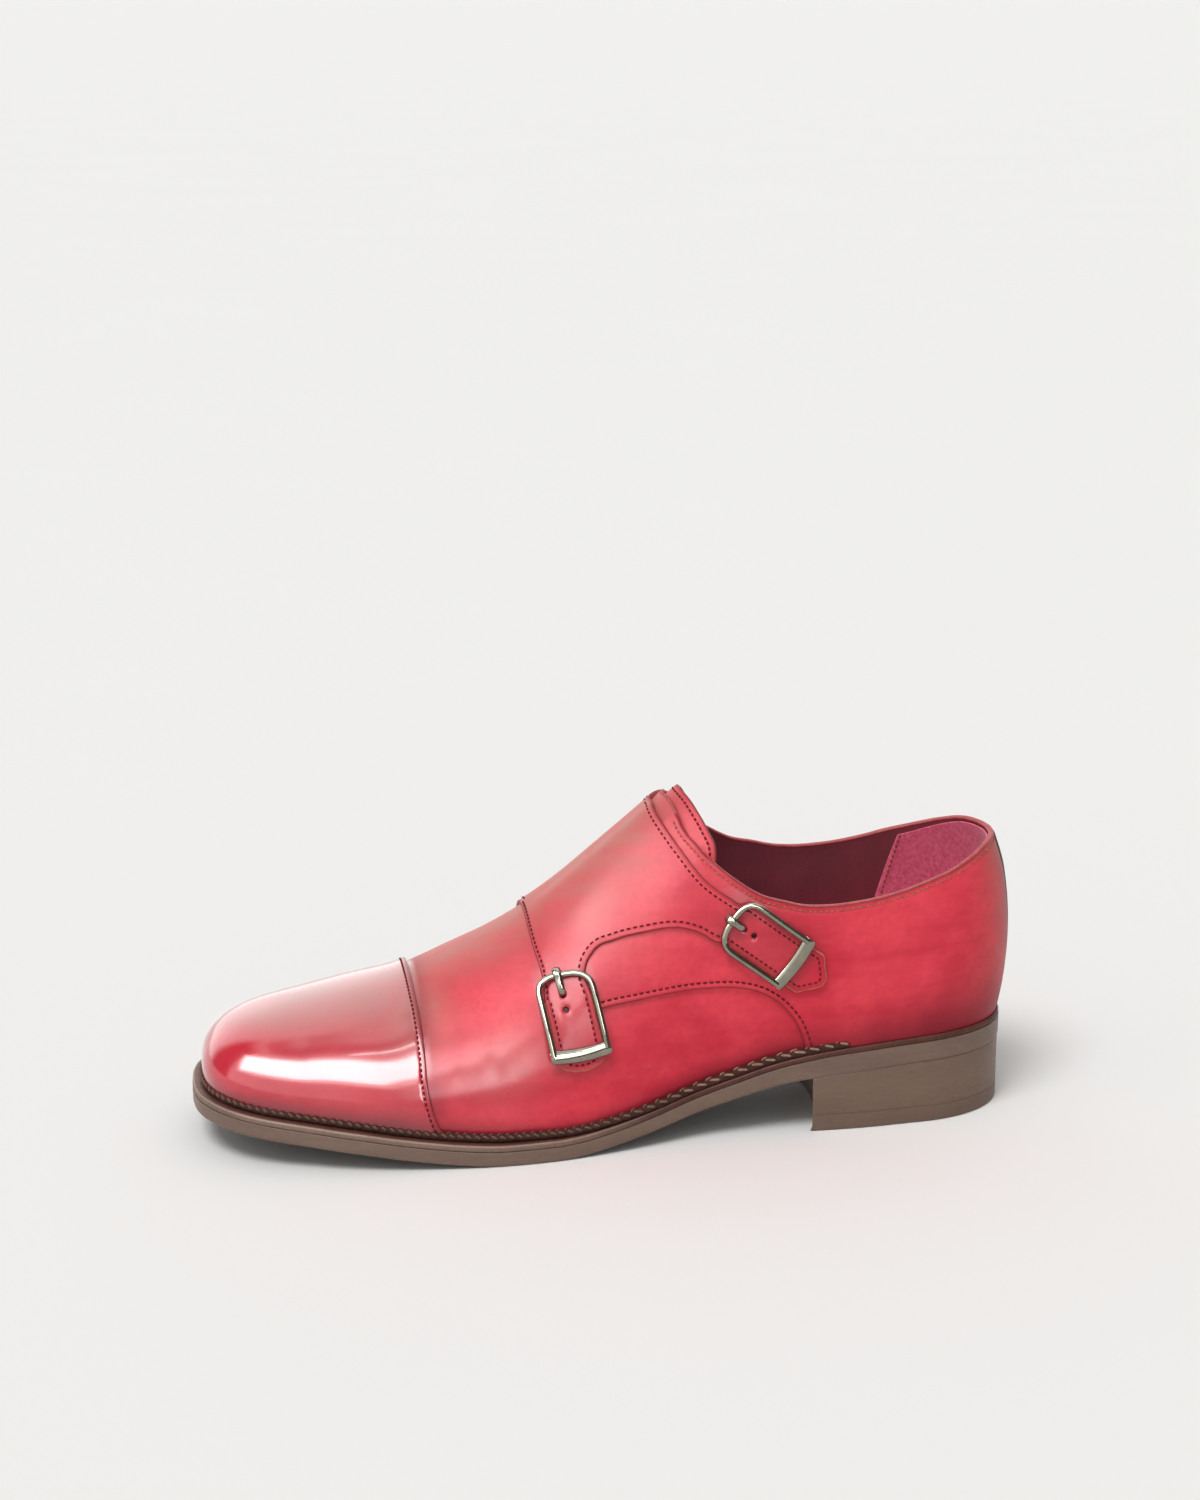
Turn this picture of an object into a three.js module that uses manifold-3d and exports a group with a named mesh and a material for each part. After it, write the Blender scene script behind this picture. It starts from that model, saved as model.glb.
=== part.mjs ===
// A left double monk strap shoe with a toe cap.
// Millimetres, +Z up. The toe points to -X and the outer side, with the buckles, to -Y.
// The shoe stands on its forepart and heel at Z = 0, centred over the origin.
import * as THREE from 'three';
import { mergeVertices } from 'three/addons/utils/BufferGeometryUtils.js';
import Module from 'manifold-3d';

const wasm = await Module();
wasm.setup();

// Sizes of the last
const LAST_LENGTH = 291;
const BALL_WIDTH = 90.5;
const CONE_HEIGHT = 113;
const TOE_OFFSET = 2;
const TOE_TURN = 0.7;
const HEEL_PIVOT = 0.125;
const TOE_PIVOT = 0.882;
const TOE_ROUND_START = 0.76;
const HEEL_ROUNDNESS = 2.1;
const TOE_ROUNDNESS = 2.5;

// Sizes of the bottom
const HEEL_LIFT = 24.6;
const TOE_SPRING = 12.2;
const OUTSOLE_THICKNESS = 5.4;
const OVERHANG = 6;
const WELT_THICKNESS = 1.9;
const WELT_REACH = 4.5;
const WELT_SETBACK = 0.4;
const BEAD_HEIGHT = 2.3;
const BEAD_WIDTH = 2.4;
const BEAD_END = 0.215;
const HEEL_BREAST = 0.26;
const HEEL_BREAST_HOLLOW = 5;
const HEEL_BREAST_SKEW = 3;
const HEEL_SETBACK = 0.3;
const TOP_PIECE = 6;
const EDGE_CHAMFER = 0.7;
const INSOLE_THICKNESS = 2.5;

// Sizes of the leather, from the last outwards
const GAP = 0.3;
const UPPER_WALL = 1.6;
const TONGUE_THICKNESS = 1.6;
const CAP_THICKNESS = 1.3;
const QUARTER_THICKNESS = 1.2;
const PANEL_THICKNESS = 1.3;
const STRIP_THICKNESS = 1;
const STRIP_WIDTH = 8;

// Sizes of the straps and buckles
const STRAP_WIDTH = 17;
const BUCKLE_WIDTH = 21.5;
const BUCKLE_LENGTH = 30;
const BUCKLE_WIRE = 2.3;
const BUCKLE_CORNER = 8;
const ARCH_SQUARENESS = 0.8;
const PLATE_LENGTH = 4.6;
const PLATE_THICKNESS = 1.7;
const PLATE_EDGE = 0.6;
const PLATE_BOW = 0.9;
const PRONG_WIRE = 1.6;
const PRONG_BEND = 0.75;
const PRONG_HOLE = 2.6;
const SPARE_HOLE = 1.8;
const HOLE_FROM_ARCH = 9.5;
const HOLE_PITCH = 5;
const POINT_BLUNTNESS = 0.25;

// Fineness of the faceted surfaces
const STATION_COUNT = 38;
const END_CROWDING = 0.85;
const LEVEL_COUNT = 8;
const BREAST_STEPS = 8;
const LEG_STEPS = 4;
const ARCH_STEPS = 12;
const PLATE_STEPS = 6;
const WIRE_SIDES = 8;
const PRONG_SIDES = 6;
const HOLE_SIDES = 10;
const ROUND_TIP_SHARES = [-1, -0.75, -0.5, -0.25, 0.25, 0.5, 0.75, 1];
const NORMAL_STEP = 1e-3;
const FAR = 150;

const OUTER = -1;
const INNER = 1;

/** Turns rows into named columns. */
function table(names, rows) {
  return Object.fromEntries(names.map((name, column) => [name, rows.map((row) => row[column])]));
}

// Sections of the last, from the heel to the toe. t is the share of the last's length.
// outer, inner, ridgeY and the bulges are shares of the ball width, ridge is a share of the cone height
// above the feather edge, and low and high shape the profile between feather edge and ridge.
const SECTIONS = table(
  ['t', 'outer', 'inner', 'ridge', 'ridgeY', 'bulgeOuter', 'bulgeInner', 'low', 'high'],
  [
    [0.0, 0.32, 0.32, 0.997, 0.0, 0.144, 0.144, 0.5, 0.5],
    [0.06, 0.326, 0.331, 1.001, 0.0, 0.133, 0.133, 0.54, 0.54],
    [0.12, 0.337, 0.343, 1.007, 0.0, 0.099, 0.099, 0.62, 0.66],
    [0.2, 0.36, 0.337, 1.02, 0.0, 0.077, 0.077, 0.68, 0.74],
    [0.26, 0.36, 0.314, 1.038, 0.0, 0.072, 0.088, 0.68, 0.74],
    [0.31, 0.349, 0.284, 1.05, 0.006, 0.066, 0.105, 0.66, 0.72],
    [0.355, 0.354, 0.265, 1.012, 0.011, 0.061, 0.122, 0.6, 0.66],
    [0.41, 0.37, 0.274, 0.943, 0.022, 0.055, 0.122, 0.55, 0.58],
    [0.455, 0.406, 0.309, 0.875, 0.033, 0.05, 0.105, 0.52, 0.52],
    [0.51, 0.442, 0.37, 0.785, 0.044, 0.044, 0.083, 0.5, 0.52],
    [0.56, 0.466, 0.425, 0.697, 0.05, 0.039, 0.055, 0.5, 0.52],
    [0.615, 0.482, 0.475, 0.601, 0.055, 0.033, 0.039, 0.52, 0.54],
    [0.69, 0.484, 0.516, 0.494, 0.061, 0.028, 0.028, 0.54, 0.56],
    [0.76, 0.475, 0.519, 0.388, 0.061, 0.028, 0.022, 0.58, 0.58],
    [0.82, 0.459, 0.506, 0.329, 0.055, 0.028, 0.022, 0.62, 0.6],
    [0.882, 0.442, 0.47, 0.275, 0.044, 0.028, 0.028, 0.64, 0.62],
    [0.94, 0.453, 0.448, 0.233, 0.033, 0.035, 0.033, 0.64, 0.62],
    [1.0, 0.464, 0.464, 0.169, 0.022, 0.049, 0.049, 0.66, 0.62],
  ],
);

// Underside of the outsole: heel is a share of the heel lift, toe a share of the toe spring.
const SOLE_LINE = table(
  ['t', 'heel', 'toe'],
  [
    [0.0, 1, 0],
    [0.1, 0.976, 0],
    [0.18, 0.919, 0],
    [0.257, 0.829, 0],
    [0.305, 0.728, 0],
    [0.355, 0.577, 0],
    [0.405, 0.423, 0],
    [0.46, 0.248, 0],
    [0.512, 0.11, 0],
    [0.552, 0.028, 0],
    [0.58, 0, 0],
    [0.655, 0, 0],
    [0.7, 0, 0.09],
    [0.76, 0, 0.287],
    [0.82, 0, 0.516],
    [0.89, 0, 0.73],
    [0.95, 0, 0.885],
    [1.0, 0, 1],
  ],
);

// Build of the bottom: outsole is a share of its thickness, overhang a share of the widest overhang.
const BOTTOM = table(
  ['t', 'outsole', 'overhang'],
  [
    [0.0, 1.37, 0.4],
    [0.12, 1.33, 0.4],
    [0.25, 1.33, 0.45],
    [0.32, 1.19, 0.5],
    [0.4, 1.07, 0.54],
    [0.5, 1.0, 0.7],
    [0.6, 1.0, 0.95],
    [0.75, 1.0, 1.0],
    [1.0, 1.0, 0.96],
  ],
);

// Collar line: heights v on the outer and the inner side.
const COLLAR = table(
  ['t', 'outer', 'inner'],
  [
    [0.0, 0.423, 0.423],
    [0.02, 0.415, 0.416],
    [0.05, 0.39, 0.391],
    [0.1, 0.336, 0.34],
    [0.15, 0.292, 0.302],
    [0.2, 0.27, 0.284],
    [0.25, 0.268, 0.289],
    [0.287, 0.285, 0.314],
    [0.324, 0.332, 0.363],
    [0.353, 0.409, 0.442],
    [0.38, 0.503, 0.533],
    [0.401, 0.603, 0.625],
    [0.416, 0.715, 0.724],
    [0.43, 1, 1],
  ],
);
const COLLAR_FRONT = 0.43;
const COLLAR_STEPS = 28;

// Section of the bead: outwards is a share of its width, up a share of its height.
const BEAD_PROFILE = table(
  ['outwards', 'up'],
  [
    [-1, 0],
    [-1, 1],
    [0.6, 1],
    [0.95, 0.65],
    [1, 0.25],
    [0.85, 0],
  ],
);

// Seams as places on the last: [t, v].
const CAP_SEAM = [
  [0.722, 0.0],
  [0.733, 0.1],
  [0.74, 0.228],
  [0.741, 0.357],
  [0.743, 0.562],
  [0.746, 0.802],
  [0.747, 1],
];
const QUARTER_SEAM = [
  [0.558, 0.355],
  [0.522, 0.338],
  [0.482, 0.302],
  [0.437, 0.258],
  [0.396, 0.215],
  [0.353, 0.17],
  [0.318, 0.122],
  [0.294, 0.083],
  [0.279, 0.05],
  [0.266, 0.0],
];
const QUARTER_HIDDEN_EDGE = [
  [0.4, 0.78],
  [0.47, 0.78],
  [0.558, 0.74],
];
const PANEL_FRONT_OUTER = [
  [0.604, 1],
  [0.601, 0.705],
  [0.594, 0.535],
];
const PANEL_FRONT_INNER = [
  [0.604, 1],
  [0.603, 0.7],
  [0.6, 0.5],
  [0.592, 0.42],
];
const PANEL_WINDOW = [
  [0.542, 0.473],
  [0.539, 0.503],
  [0.527, 0.527],
  [0.505, 0.512],
  [0.472, 0.473],
  [0.427, 0.408],
  [0.405, 0.362],
  [0.378, 0.3],
];
const PANEL_TOP = [
  [0.349, 0.35],
  [0.365, 0.39],
  [0.391, 0.473],
  [0.415, 0.603],
  [0.436, 0.795],
  [0.442, 1],
];
const PANEL_TOP_INNER = [
  [0.4, 0.66],
  [0.416, 0.78],
  [0.432, 0.9],
  [0.442, 1],
];
const TONGUE_EDGE = [
  [0.5, 1],
  [0.5, 0.6],
  [0.45, 0.5],
  [0.41, 0.45],
  [0.38, 0.49],
  [0.379, 0.54],
  [0.388, 0.63],
  [0.401, 0.76],
  [0.414, 1],
];

// Buckled straps: the middle of the buckle on the last, the angle of the strap in the side view,
// and the lengths from there to the strap's shoulders and tip.
const STRAPS = {
  front: { t: 0.5625, v: 0.372, angle: -80, root: 6, shoulder: 15, tip: 19.5, pointed: false, hole: -1.5 },
  rear: { t: 0.324, v: 0.235, angle: -36, root: 12, shoulder: 22, tip: 28, pointed: true, hole: 0 },
};

// Where the panel rises from the vamp onto the outer quarter.
const PANEL_STEP = { front: 0.604, back: 0.574, heelStart: 0.12, heelEnd: 0.2, low: 0.86, high: 0.98 };

const OUTER_LAYER = GAP + QUARTER_THICKNESS + GAP;

/** Smooth curve through a table's column, flat outside the table. */
function read(columns, name, t) {
  const xs = columns.t;
  const ys = columns[name];
  const last = xs.length - 1;
  const place = Math.min(Math.max(t, xs[0]), xs[last]);
  const i = Math.min(Math.max(xs.findIndex((x) => x > place) - 1, 0), last - 1);
  const index = place >= xs[last] ? last - 1 : i;
  const width = xs[index + 1] - xs[index];
  const s = (place - xs[index]) / width;
  const slope = (k) => (ys[k + 1] - ys[k]) / (xs[k + 1] - xs[k]);
  const tangent = (k) => {
    if (k === 0) return slope(0);
    if (k === last) return slope(last - 1);
    const before = xs[k] - xs[k - 1];
    const after = xs[k + 1] - xs[k];
    return (slope(k - 1) * after + slope(k) * before) / (before + after);
  };
  const a = (2 * s - 3) * s * s + 1;
  const b = ((s - 2) * s + 1) * s * width;
  const c = (3 - 2 * s) * s * s;
  const d = (s - 1) * s * s * width;
  return a * ys[index] + b * tangent(index) + c * ys[index + 1] + d * tangent(index + 1);
}

const smooth = (value, from, to) => THREE.MathUtils.smoothstep((value - from) / (to - from), 0, 1);

/** Share of the last's length that lies behind x. */
const shareAt = (x) => -x / LAST_LENGTH;

function soleBottom(x) {
  const t = shareAt(x);
  const lifted = HEEL_LIFT * read(SOLE_LINE, 'heel', t) + TOE_SPRING * read(SOLE_LINE, 'toe', t);
  return Math.max(0, lifted);
}

const soleTop = (x) => soleBottom(x) + OUTSOLE_THICKNESS * read(BOTTOM, 'outsole', shareAt(x));
const weltBottom = (x) => soleTop(x) + GAP;
const weltTop = (x) => weltBottom(x) + WELT_THICKNESS;
const featherHeight = (x) => weltTop(x) + GAP;
const overhang = (t) => OVERHANG * read(BOTTOM, 'overhang', t);

/** How far the outline has opened at t: 0 at both tips, 1 between the round ends. */
function roundness(t) {
  const heel = Math.max(0, (HEEL_PIVOT - t) / HEEL_PIVOT);
  const toe = Math.max(0, (t - TOE_ROUND_START) / (1 - TOE_ROUND_START));
  const heelPart = (1 - heel ** HEEL_ROUNDNESS) ** (1 / HEEL_ROUNDNESS);
  const toePart = (1 - toe ** TOE_ROUNDNESS) ** (1 / TOE_ROUNDNESS);
  return heelPart * toePart;
}

/** A point of the feather edge moved outwards by a width that may change along the shoe. */
function outline(t, side, outwards = () => 0) {
  const back = outwards(0);
  const front = -LAST_LENGTH - outwards(1);
  const half = BALL_WIDTH * read(SECTIONS, side === OUTER ? 'outer' : 'inner', t) + outwards(t);
  const middle = TOE_OFFSET * Math.max(0, (t - TOE_TURN) / (1 - TOE_TURN)) ** 2;
  return { x: back + (front - back) * t, y: middle + side * half * roundness(t) };
}

/** A point of the last's ridge. */
function ridge(t) {
  const x = -LAST_LENGTH * t;
  const z = featherHeight(x) + CONE_HEIGHT * read(SECTIONS, 'ridge', t);
  return new THREE.Vector3(x, BALL_WIDTH * read(SECTIONS, 'ridgeY', t), z);
}

/** The last's surface at share t of the length and v of the way from feather edge to ridge. */
function lastPoint(t, side, v) {
  const foot = outline(t, side);
  const footHeight = featherHeight(foot.x);
  const pivot = THREE.MathUtils.clamp(t, HEEL_PIVOT, TOE_PIVOT);
  const top = ridge(pivot);
  const climb = ridge(pivot + NORMAL_STEP).z - ridge(pivot - NORMAL_STEP).z;
  const rise = climb / (2 * NORMAL_STEP * -LAST_LENGTH);
  const away = new THREE.Vector2(foot.x - top.x, foot.y - top.y);
  const reach = away.length();
  away.normalize();
  const bulge = BALL_WIDTH * read(SECTIONS, side === OUTER ? 'bulgeOuter' : 'bulgeInner', t);
  const low = read(SECTIONS, 'low', t);
  const high = read(SECTIONS, 'high', t);
  const height = top.z - footHeight;
  const weights = [(1 - v) ** 3, 3 * v * (1 - v) ** 2, 3 * v * v * (1 - v), v ** 3];
  const radii = [reach, reach + bulge, high * reach, 0];
  const shoulder = top.z + rise * away.x * high * reach;
  const heights = [footHeight, footHeight + low * height, shoulder, top.z];
  const mix = (values) => values.reduce((sum, value, i) => sum + value * weights[i], 0);
  const radius = mix(radii);
  return new THREE.Vector3(top.x + away.x * radius, top.y + away.y * radius, mix(heights));
}

/** Outward direction of the last's surface, away from the tips and the ridge's ends. */
function lastNormal(t, side, v) {
  const s = THREE.MathUtils.clamp(t, 2 * NORMAL_STEP, 1 - 2 * NORMAL_STEP);
  const w = THREE.MathUtils.clamp(v, NORMAL_STEP, 1 - 2 * NORMAL_STEP);
  const along = lastPoint(s + NORMAL_STEP, side, w).sub(lastPoint(s - NORMAL_STEP, side, w));
  const up = lastPoint(s, side, w + NORMAL_STEP).sub(lastPoint(s, side, w - NORMAL_STEP));
  return along.cross(up).multiplyScalar(side).normalize();
}

const onUpper = (t, side, v, height = 0) =>
  lastPoint(t, side, v).addScaledVector(lastNormal(t, side, v), height);

/** Collects welded points and faces, and gives the solid that they close. */
class Shell {
  constructor() {
    this.points = [];
    this.faces = [];
    this.names = new Map();
  }

  point(p) {
    const name = [p.x, p.y, p.z].map((value) => value.toFixed(3)).join(' ');
    if (!this.names.has(name)) {
      this.names.set(name, this.points.length);
      this.points.push(p.clone());
    }
    return this.names.get(name);
  }

  triangle(a, b, c) {
    if (a !== b && b !== c && c !== a) this.faces.push([a, b, c]);
  }

  quad(a, b, c, d) {
    this.triangle(a, b, c);
    this.triangle(a, c, d);
  }

  /** Moves each point along its normal by the amount given for it. */
  swell(amounts) {
    const normals = this.points.map(() => new THREE.Vector3());
    for (const [a, b, c] of this.faces) {
      const edge = this.points[b].clone().sub(this.points[a]);
      const normal = edge.cross(this.points[c].clone().sub(this.points[a]));
      for (const id of [a, b, c]) normals[id].add(normal);
    }
    this.points.forEach((p, id) => p.addScaledVector(normals[id].normalize(), amounts[id]));
  }

  /** Signed volume inside the faces: negative where they point inwards. */
  volume() {
    return this.faces.reduce((sum, [a, b, c]) => {
      const [p, q, r] = [this.points[a], this.points[b], this.points[c]];
      return sum + p.dot(q.clone().cross(r)) / 6;
    }, 0);
  }

  solid() {
    if (this.volume() < 0) this.faces.forEach((face) => face.reverse());
    const mesh = new wasm.Mesh({
      numProp: 3,
      vertProperties: new Float32Array(this.points.flatMap((p) => [p.x, p.y, p.z])),
      triVerts: new Uint32Array(this.faces.flat()),
    });
    return new wasm.Manifold(mesh);
  }
}

const STATIONS = Array.from({ length: STATION_COUNT + 1 }, (_, i) => {
  const s = i / STATION_COUNT;
  return s - (END_CROWDING * Math.sin(2 * Math.PI * s)) / (2 * Math.PI);
});
const LEVELS = Array.from({ length: LEVEL_COUNT + 1 }, (_, j) => j / LEVEL_COUNT);

/** The last, grown outwards by an offset, closed underneath by a skirt that hangs below its edge. */
function lastForm(offset, skirt = 0) {
  const grow = typeof offset === 'function' ? offset : () => offset;
  const shell = new Shell();
  const amounts = [];
  const rows = STATIONS.map((t) =>
    [OUTER, INNER].map((side) =>
      LEVELS.map((v) => {
        const id = shell.point(lastPoint(t, side, v));
        amounts[id] = grow(t, side, v);
        return id;
      }),
    ),
  );
  for (let i = 0; i < STATION_COUNT; i += 1) {
    for (let j = 0; j < LEVEL_COUNT; j += 1) {
      const [outer, inner] = rows[i];
      const [nextOuter, nextInner] = rows[i + 1];
      shell.quad(outer[j], outer[j + 1], nextOuter[j + 1], nextOuter[j]);
      shell.quad(inner[j], nextInner[j], nextInner[j + 1], inner[j + 1]);
    }
  }
  const rims = rows.map(([outer, inner]) => [outer[0], inner[0]]);
  const heights = rims.map(([outer]) => shell.points[outer].z);
  shell.swell(amounts);
  rims.forEach((rim, i) => rim.forEach((id) => (shell.points[id].z = heights[i])));
  const hems = rims.map((rim) => {
    if (skirt === 0) return rim;
    const drop = new THREE.Vector3(0, 0, -skirt);
    return rim.map((id) => shell.point(shell.points[id].clone().add(drop)));
  });
  for (let i = 0; i < STATION_COUNT; i += 1) {
    shell.quad(hems[i][0], rims[i][0], rims[i + 1][0], hems[i + 1][0]);
    shell.quad(rims[i][1], hems[i][1], hems[i + 1][1], rims[i + 1][1]);
    shell.quad(hems[i][0], hems[i + 1][0], hems[i + 1][1], hems[i][1]);
  }
  return shell.solid();
}

/** Leather of one thickness that lies over the last at an offset. */
function layer(offset, thickness) {
  const inside = typeof offset === 'function' ? offset : () => offset;
  const outside = (t, side, v) => inside(t, side, v) + thickness;
  return lastForm(outside).subtract(lastForm(inside, HEEL_LIFT / 2));
}

/** Joins rings of equally many points, with the ends closed, or joined when the rings go round. */
function loft(rings, goesRound = false) {
  const shell = new Shell();
  const ids = rings.map((ring) => ring.map((p) => shell.point(p)));
  const count = ids[0].length;
  const stretches = goesRound ? ids.length : ids.length - 1;
  for (let i = 0; i < stretches; i += 1) {
    const ring = ids[i];
    const next = ids[(i + 1) % ids.length];
    for (let j = 0; j < count; j += 1) {
      const k = (j + 1) % count;
      shell.quad(ring[j], ring[k], next[k], next[j]);
    }
  }
  if (!goesRound) {
    const [first, last] = [ids[0], ids[ids.length - 1]];
    for (let j = 1; j < count - 1; j += 1) {
      shell.triangle(first[0], first[j + 1], first[j]);
      shell.triangle(last[0], last[j], last[j + 1]);
    }
  }
  return shell.solid();
}

/** A solid from a three.js geometry. */
function fromGeometry(geometry) {
  const plain = geometry.clone();
  plain.deleteAttribute('normal');
  plain.deleteAttribute('uv');
  const merged = mergeVertices(plain);
  const mesh = new wasm.Mesh({
    numProp: 3,
    vertProperties: new Float32Array(merged.attributes.position.array),
    triVerts: new Uint32Array(merged.index.array),
  });
  return new wasm.Manifold(mesh);
}

/** A side-view outline drawn through the shoe from one depth to another. */
function prism(corners, from, to) {
  const shape = new THREE.Shape(corners.map((p) => new THREE.Vector2(p.x, p.z)));
  const geometry = new THREE.ExtrudeGeometry(shape, { depth: to - from, bevelEnabled: false });
  geometry.rotateX(Math.PI / 2);
  geometry.translate(0, to, 0);
  return fromGeometry(geometry);
}

const seam = (rows, side, height) => rows.map(([t, v]) => onUpper(t, side, v, height));
const corner = (x, z) => new THREE.Vector3(x, 0, z);

/** A seam's end on the ridge, carried on outwards so that a cut passes the surface. */
const overRidge = ([t, v]) => onUpper(t, OUTER, v, STRAP_WIDTH);

/** Goes round the shoe from the outer side over the toe to the inner side. */
function around(start) {
  const rows = STATIONS.filter((t) => t > start);
  const forwards = [start, ...rows].map((t) => [t, OUTER]);
  const backwards = [...rows.slice(0, -1).reverse(), start].map((t) => [t, INNER]);
  return [...forwards, ...backwards];
}

function makeOutsole() {
  const edge = [
    { height: 0, inset: EDGE_CHAMFER },
    { height: 0.18, inset: 0 },
    { height: 0.82, inset: 0 },
    { height: 1, inset: EDGE_CHAMFER / 2 },
  ];
  const place = (t, side, { height, inset }) => {
    const p = outline(t, side, (share) => overhang(share) - inset);
    const bottom = soleBottom(p.x);
    return new THREE.Vector3(p.x, p.y, bottom + height * (soleTop(p.x) - bottom));
  };
  const rings = STATIONS.map((t) => [
    ...edge.map((step) => place(t, OUTER, step)),
    ...[...edge].reverse().map((step) => place(t, INNER, step)),
  ]);
  return loft(rings);
}

function makeWelt() {
  const stops = around(0).slice(0, -1);
  const rings = stops.map(([t, side]) => {
    const outer = outline(t, side, (share) => overhang(share) - WELT_SETBACK);
    const inner = outline(t, side, () => -WELT_REACH);
    return [
      new THREE.Vector3(inner.x, inner.y, weltBottom(inner.x)),
      new THREE.Vector3(inner.x, inner.y, weltTop(inner.x)),
      new THREE.Vector3(outer.x, outer.y, weltTop(outer.x)),
      new THREE.Vector3(outer.x, outer.y, weltBottom(outer.x)),
    ];
  });
  return loft(rings, true);
}

/** The bead's strip beside the upper, grown on all sides by a clearance. */
function beadStrip(clearance) {
  const rows = BEAD_PROFILE.outwards.map((share, i) => [share, BEAD_PROFILE.up[i]]);
  const profile = rows.map(([outwards, up]) => [
    outwards * BEAD_WIDTH + clearance * Math.sign(outwards),
    up * BEAD_HEIGHT + clearance * Math.sign(up - 0.5),
  ]);
  const end = BEAD_END - clearance / LAST_LENGTH;
  const rings = around(end).map(([t, side]) =>
    profile.map(([outwards, up]) => {
      const p = outline(t, side, () => outwards);
      return new THREE.Vector3(p.x, p.y, featherHeight(p.x) + up);
    }),
  );
  return loft(rings);
}

/** The heel's outline, flat at a height or just under the sole. */
function heelRing(inset, height) {
  const rows = STATIONS.filter((t) => t < HEEL_BREAST);
  const sides = [...rows, HEEL_BREAST];
  const place = (t, side) => outline(t, side, (share) => overhang(share) - inset);
  const outer = sides.map((t) => place(t, OUTER)).reverse();
  const inner = sides.slice(1).map((t) => place(t, INNER));
  const [from, to] = [outer[0], inner[inner.length - 1]];
  to.x += HEEL_BREAST_SKEW;
  const breast = Array.from({ length: BREAST_STEPS - 1 }, (_, i) => {
    const s = 1 - (i + 1) / BREAST_STEPS;
    const hollow = 4 * s * (1 - s) * HEEL_BREAST_HOLLOW;
    return { x: from.x + (to.x - from.x) * s + hollow, y: from.y + (to.y - from.y) * s };
  });
  return [...outer, ...inner, ...breast].map((p) => new THREE.Vector3(p.x, p.y, height(p.x)));
}

function makeHeel() {
  const level = (height) => () => height;
  const chamfered = heelRing(HEEL_SETBACK + EDGE_CHAMFER, level(0));
  const side = (height) => heelRing(HEEL_SETBACK, level(height));
  const topPiece = loft([chamfered, side(EDGE_CHAMFER), side(TOP_PIECE)]);
  const block = loft([side(TOP_PIECE + GAP), heelRing(HEEL_SETBACK, (x) => soleBottom(x) - GAP)]);
  return { topPiece, block };
}

function makeInsole() {
  const inset = UPPER_WALL + 3 * GAP;
  const rings = STATIONS.map((t) => {
    const [outer, inner] = [OUTER, INNER].map((side) => outline(t, side, () => -inset));
    const place = (p, up) => new THREE.Vector3(p.x, p.y, featherHeight(p.x) + up);
    const [low, high] = [[outer, inner], [inner, outer]];
    return [...low.map((p) => place(p, 0)), ...high.map((p) => place(p, INSOLE_THICKNESS))];
  });
  return loft(rings);
}

/** Everything above the collar line. */
function collarTool() {
  const step = COLLAR_FRONT / COLLAR_STEPS;
  const stops = Array.from({ length: COLLAR_STEPS + 1 }, (_, i) => i * step);
  const rings = stops.map((t) => {
    const outer = lastPoint(t, OUTER, read(COLLAR, 'outer', t));
    const inner = lastPoint(t, INNER, read(COLLAR, 'inner', t));
    const spread = inner.y - outer.y;
    const tilt = spread > STRAP_WIDTH ? (inner.z - outer.z) / spread : 0;
    const middle = outer.clone().add(inner).multiplyScalar(0.5);
    const side = (y) => new THREE.Vector3(middle.x, y, middle.z + tilt * (y - middle.y));
    const low = [side(-BALL_WIDTH), side(BALL_WIDTH)];
    return [...low, ...low.map((p) => p.clone().setZ(p.z + CONE_HEIGHT)).reverse()];
  });
  const behind = rings[0].map((p) => p.clone().setX(p.x + BALL_WIDTH));
  return loft([behind, ...rings]);
}

/** Places of a buckled strap: its middle on the last and its own directions. */
function strapFrame({ t, v, angle }) {
  const middle = lastPoint(t, OUTER, v);
  const normal = lastNormal(t, OUTER, v);
  const turn = THREE.MathUtils.degToRad(angle);
  const along = new THREE.Vector3(Math.cos(turn), 0, Math.sin(turn));
  along.addScaledVector(normal, -along.dot(normal)).normalize();
  const across = normal.clone().cross(along);
  return { middle, along, across };
}

/** The point of the surface that lies a and b from the strap's middle, raised by a height. */
function onStrap(strap, a, b, height) {
  const { middle, along, across } = strapFrame(strap);
  const local = (t, v) => {
    const away = lastPoint(t, OUTER, v).sub(middle);
    return [away.dot(along), away.dot(across)];
  };
  let { t, v } = strap;
  for (let step = 0; step < 6; step += 1) {
    const here = local(t, v);
    const byT = local(t + NORMAL_STEP, v).map((value, i) => (value - here[i]) / NORMAL_STEP);
    const byV = local(t, v + NORMAL_STEP).map((value, i) => (value - here[i]) / NORMAL_STEP);
    const [missA, missB] = [a - here[0], b - here[1]];
    const scale = byT[0] * byV[1] - byT[1] * byV[0];
    t += (missA * byV[1] - missB * byV[0]) / scale;
    v += (missB * byT[0] - missA * byT[1]) / scale;
  }
  return onUpper(t, OUTER, v, height);
}

/** The strap's outline past its root: down its first edge, round the tip and back up the other. */
function strapCorners(strap) {
  const half = STRAP_WIDTH / 2;
  const arc = (share) => [
    strap.shoulder + (strap.tip - strap.shoulder) * Math.cos(share * Math.PI / 2),
    half * Math.sin(share * Math.PI / 2),
  ];
  const blunt = half * POINT_BLUNTNESS;
  const point = [[strap.shoulder, -half], [strap.tip, -blunt], [strap.tip, blunt], [strap.shoulder, half]];
  const end = strap.pointed ? point : ROUND_TIP_SHARES.map(arc);
  const places = [[-strap.root, -half], ...end, [-strap.root, half]];
  return places.map(([a, b]) => onStrap(strap, a, b, OUTER_LAYER));
}

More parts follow.
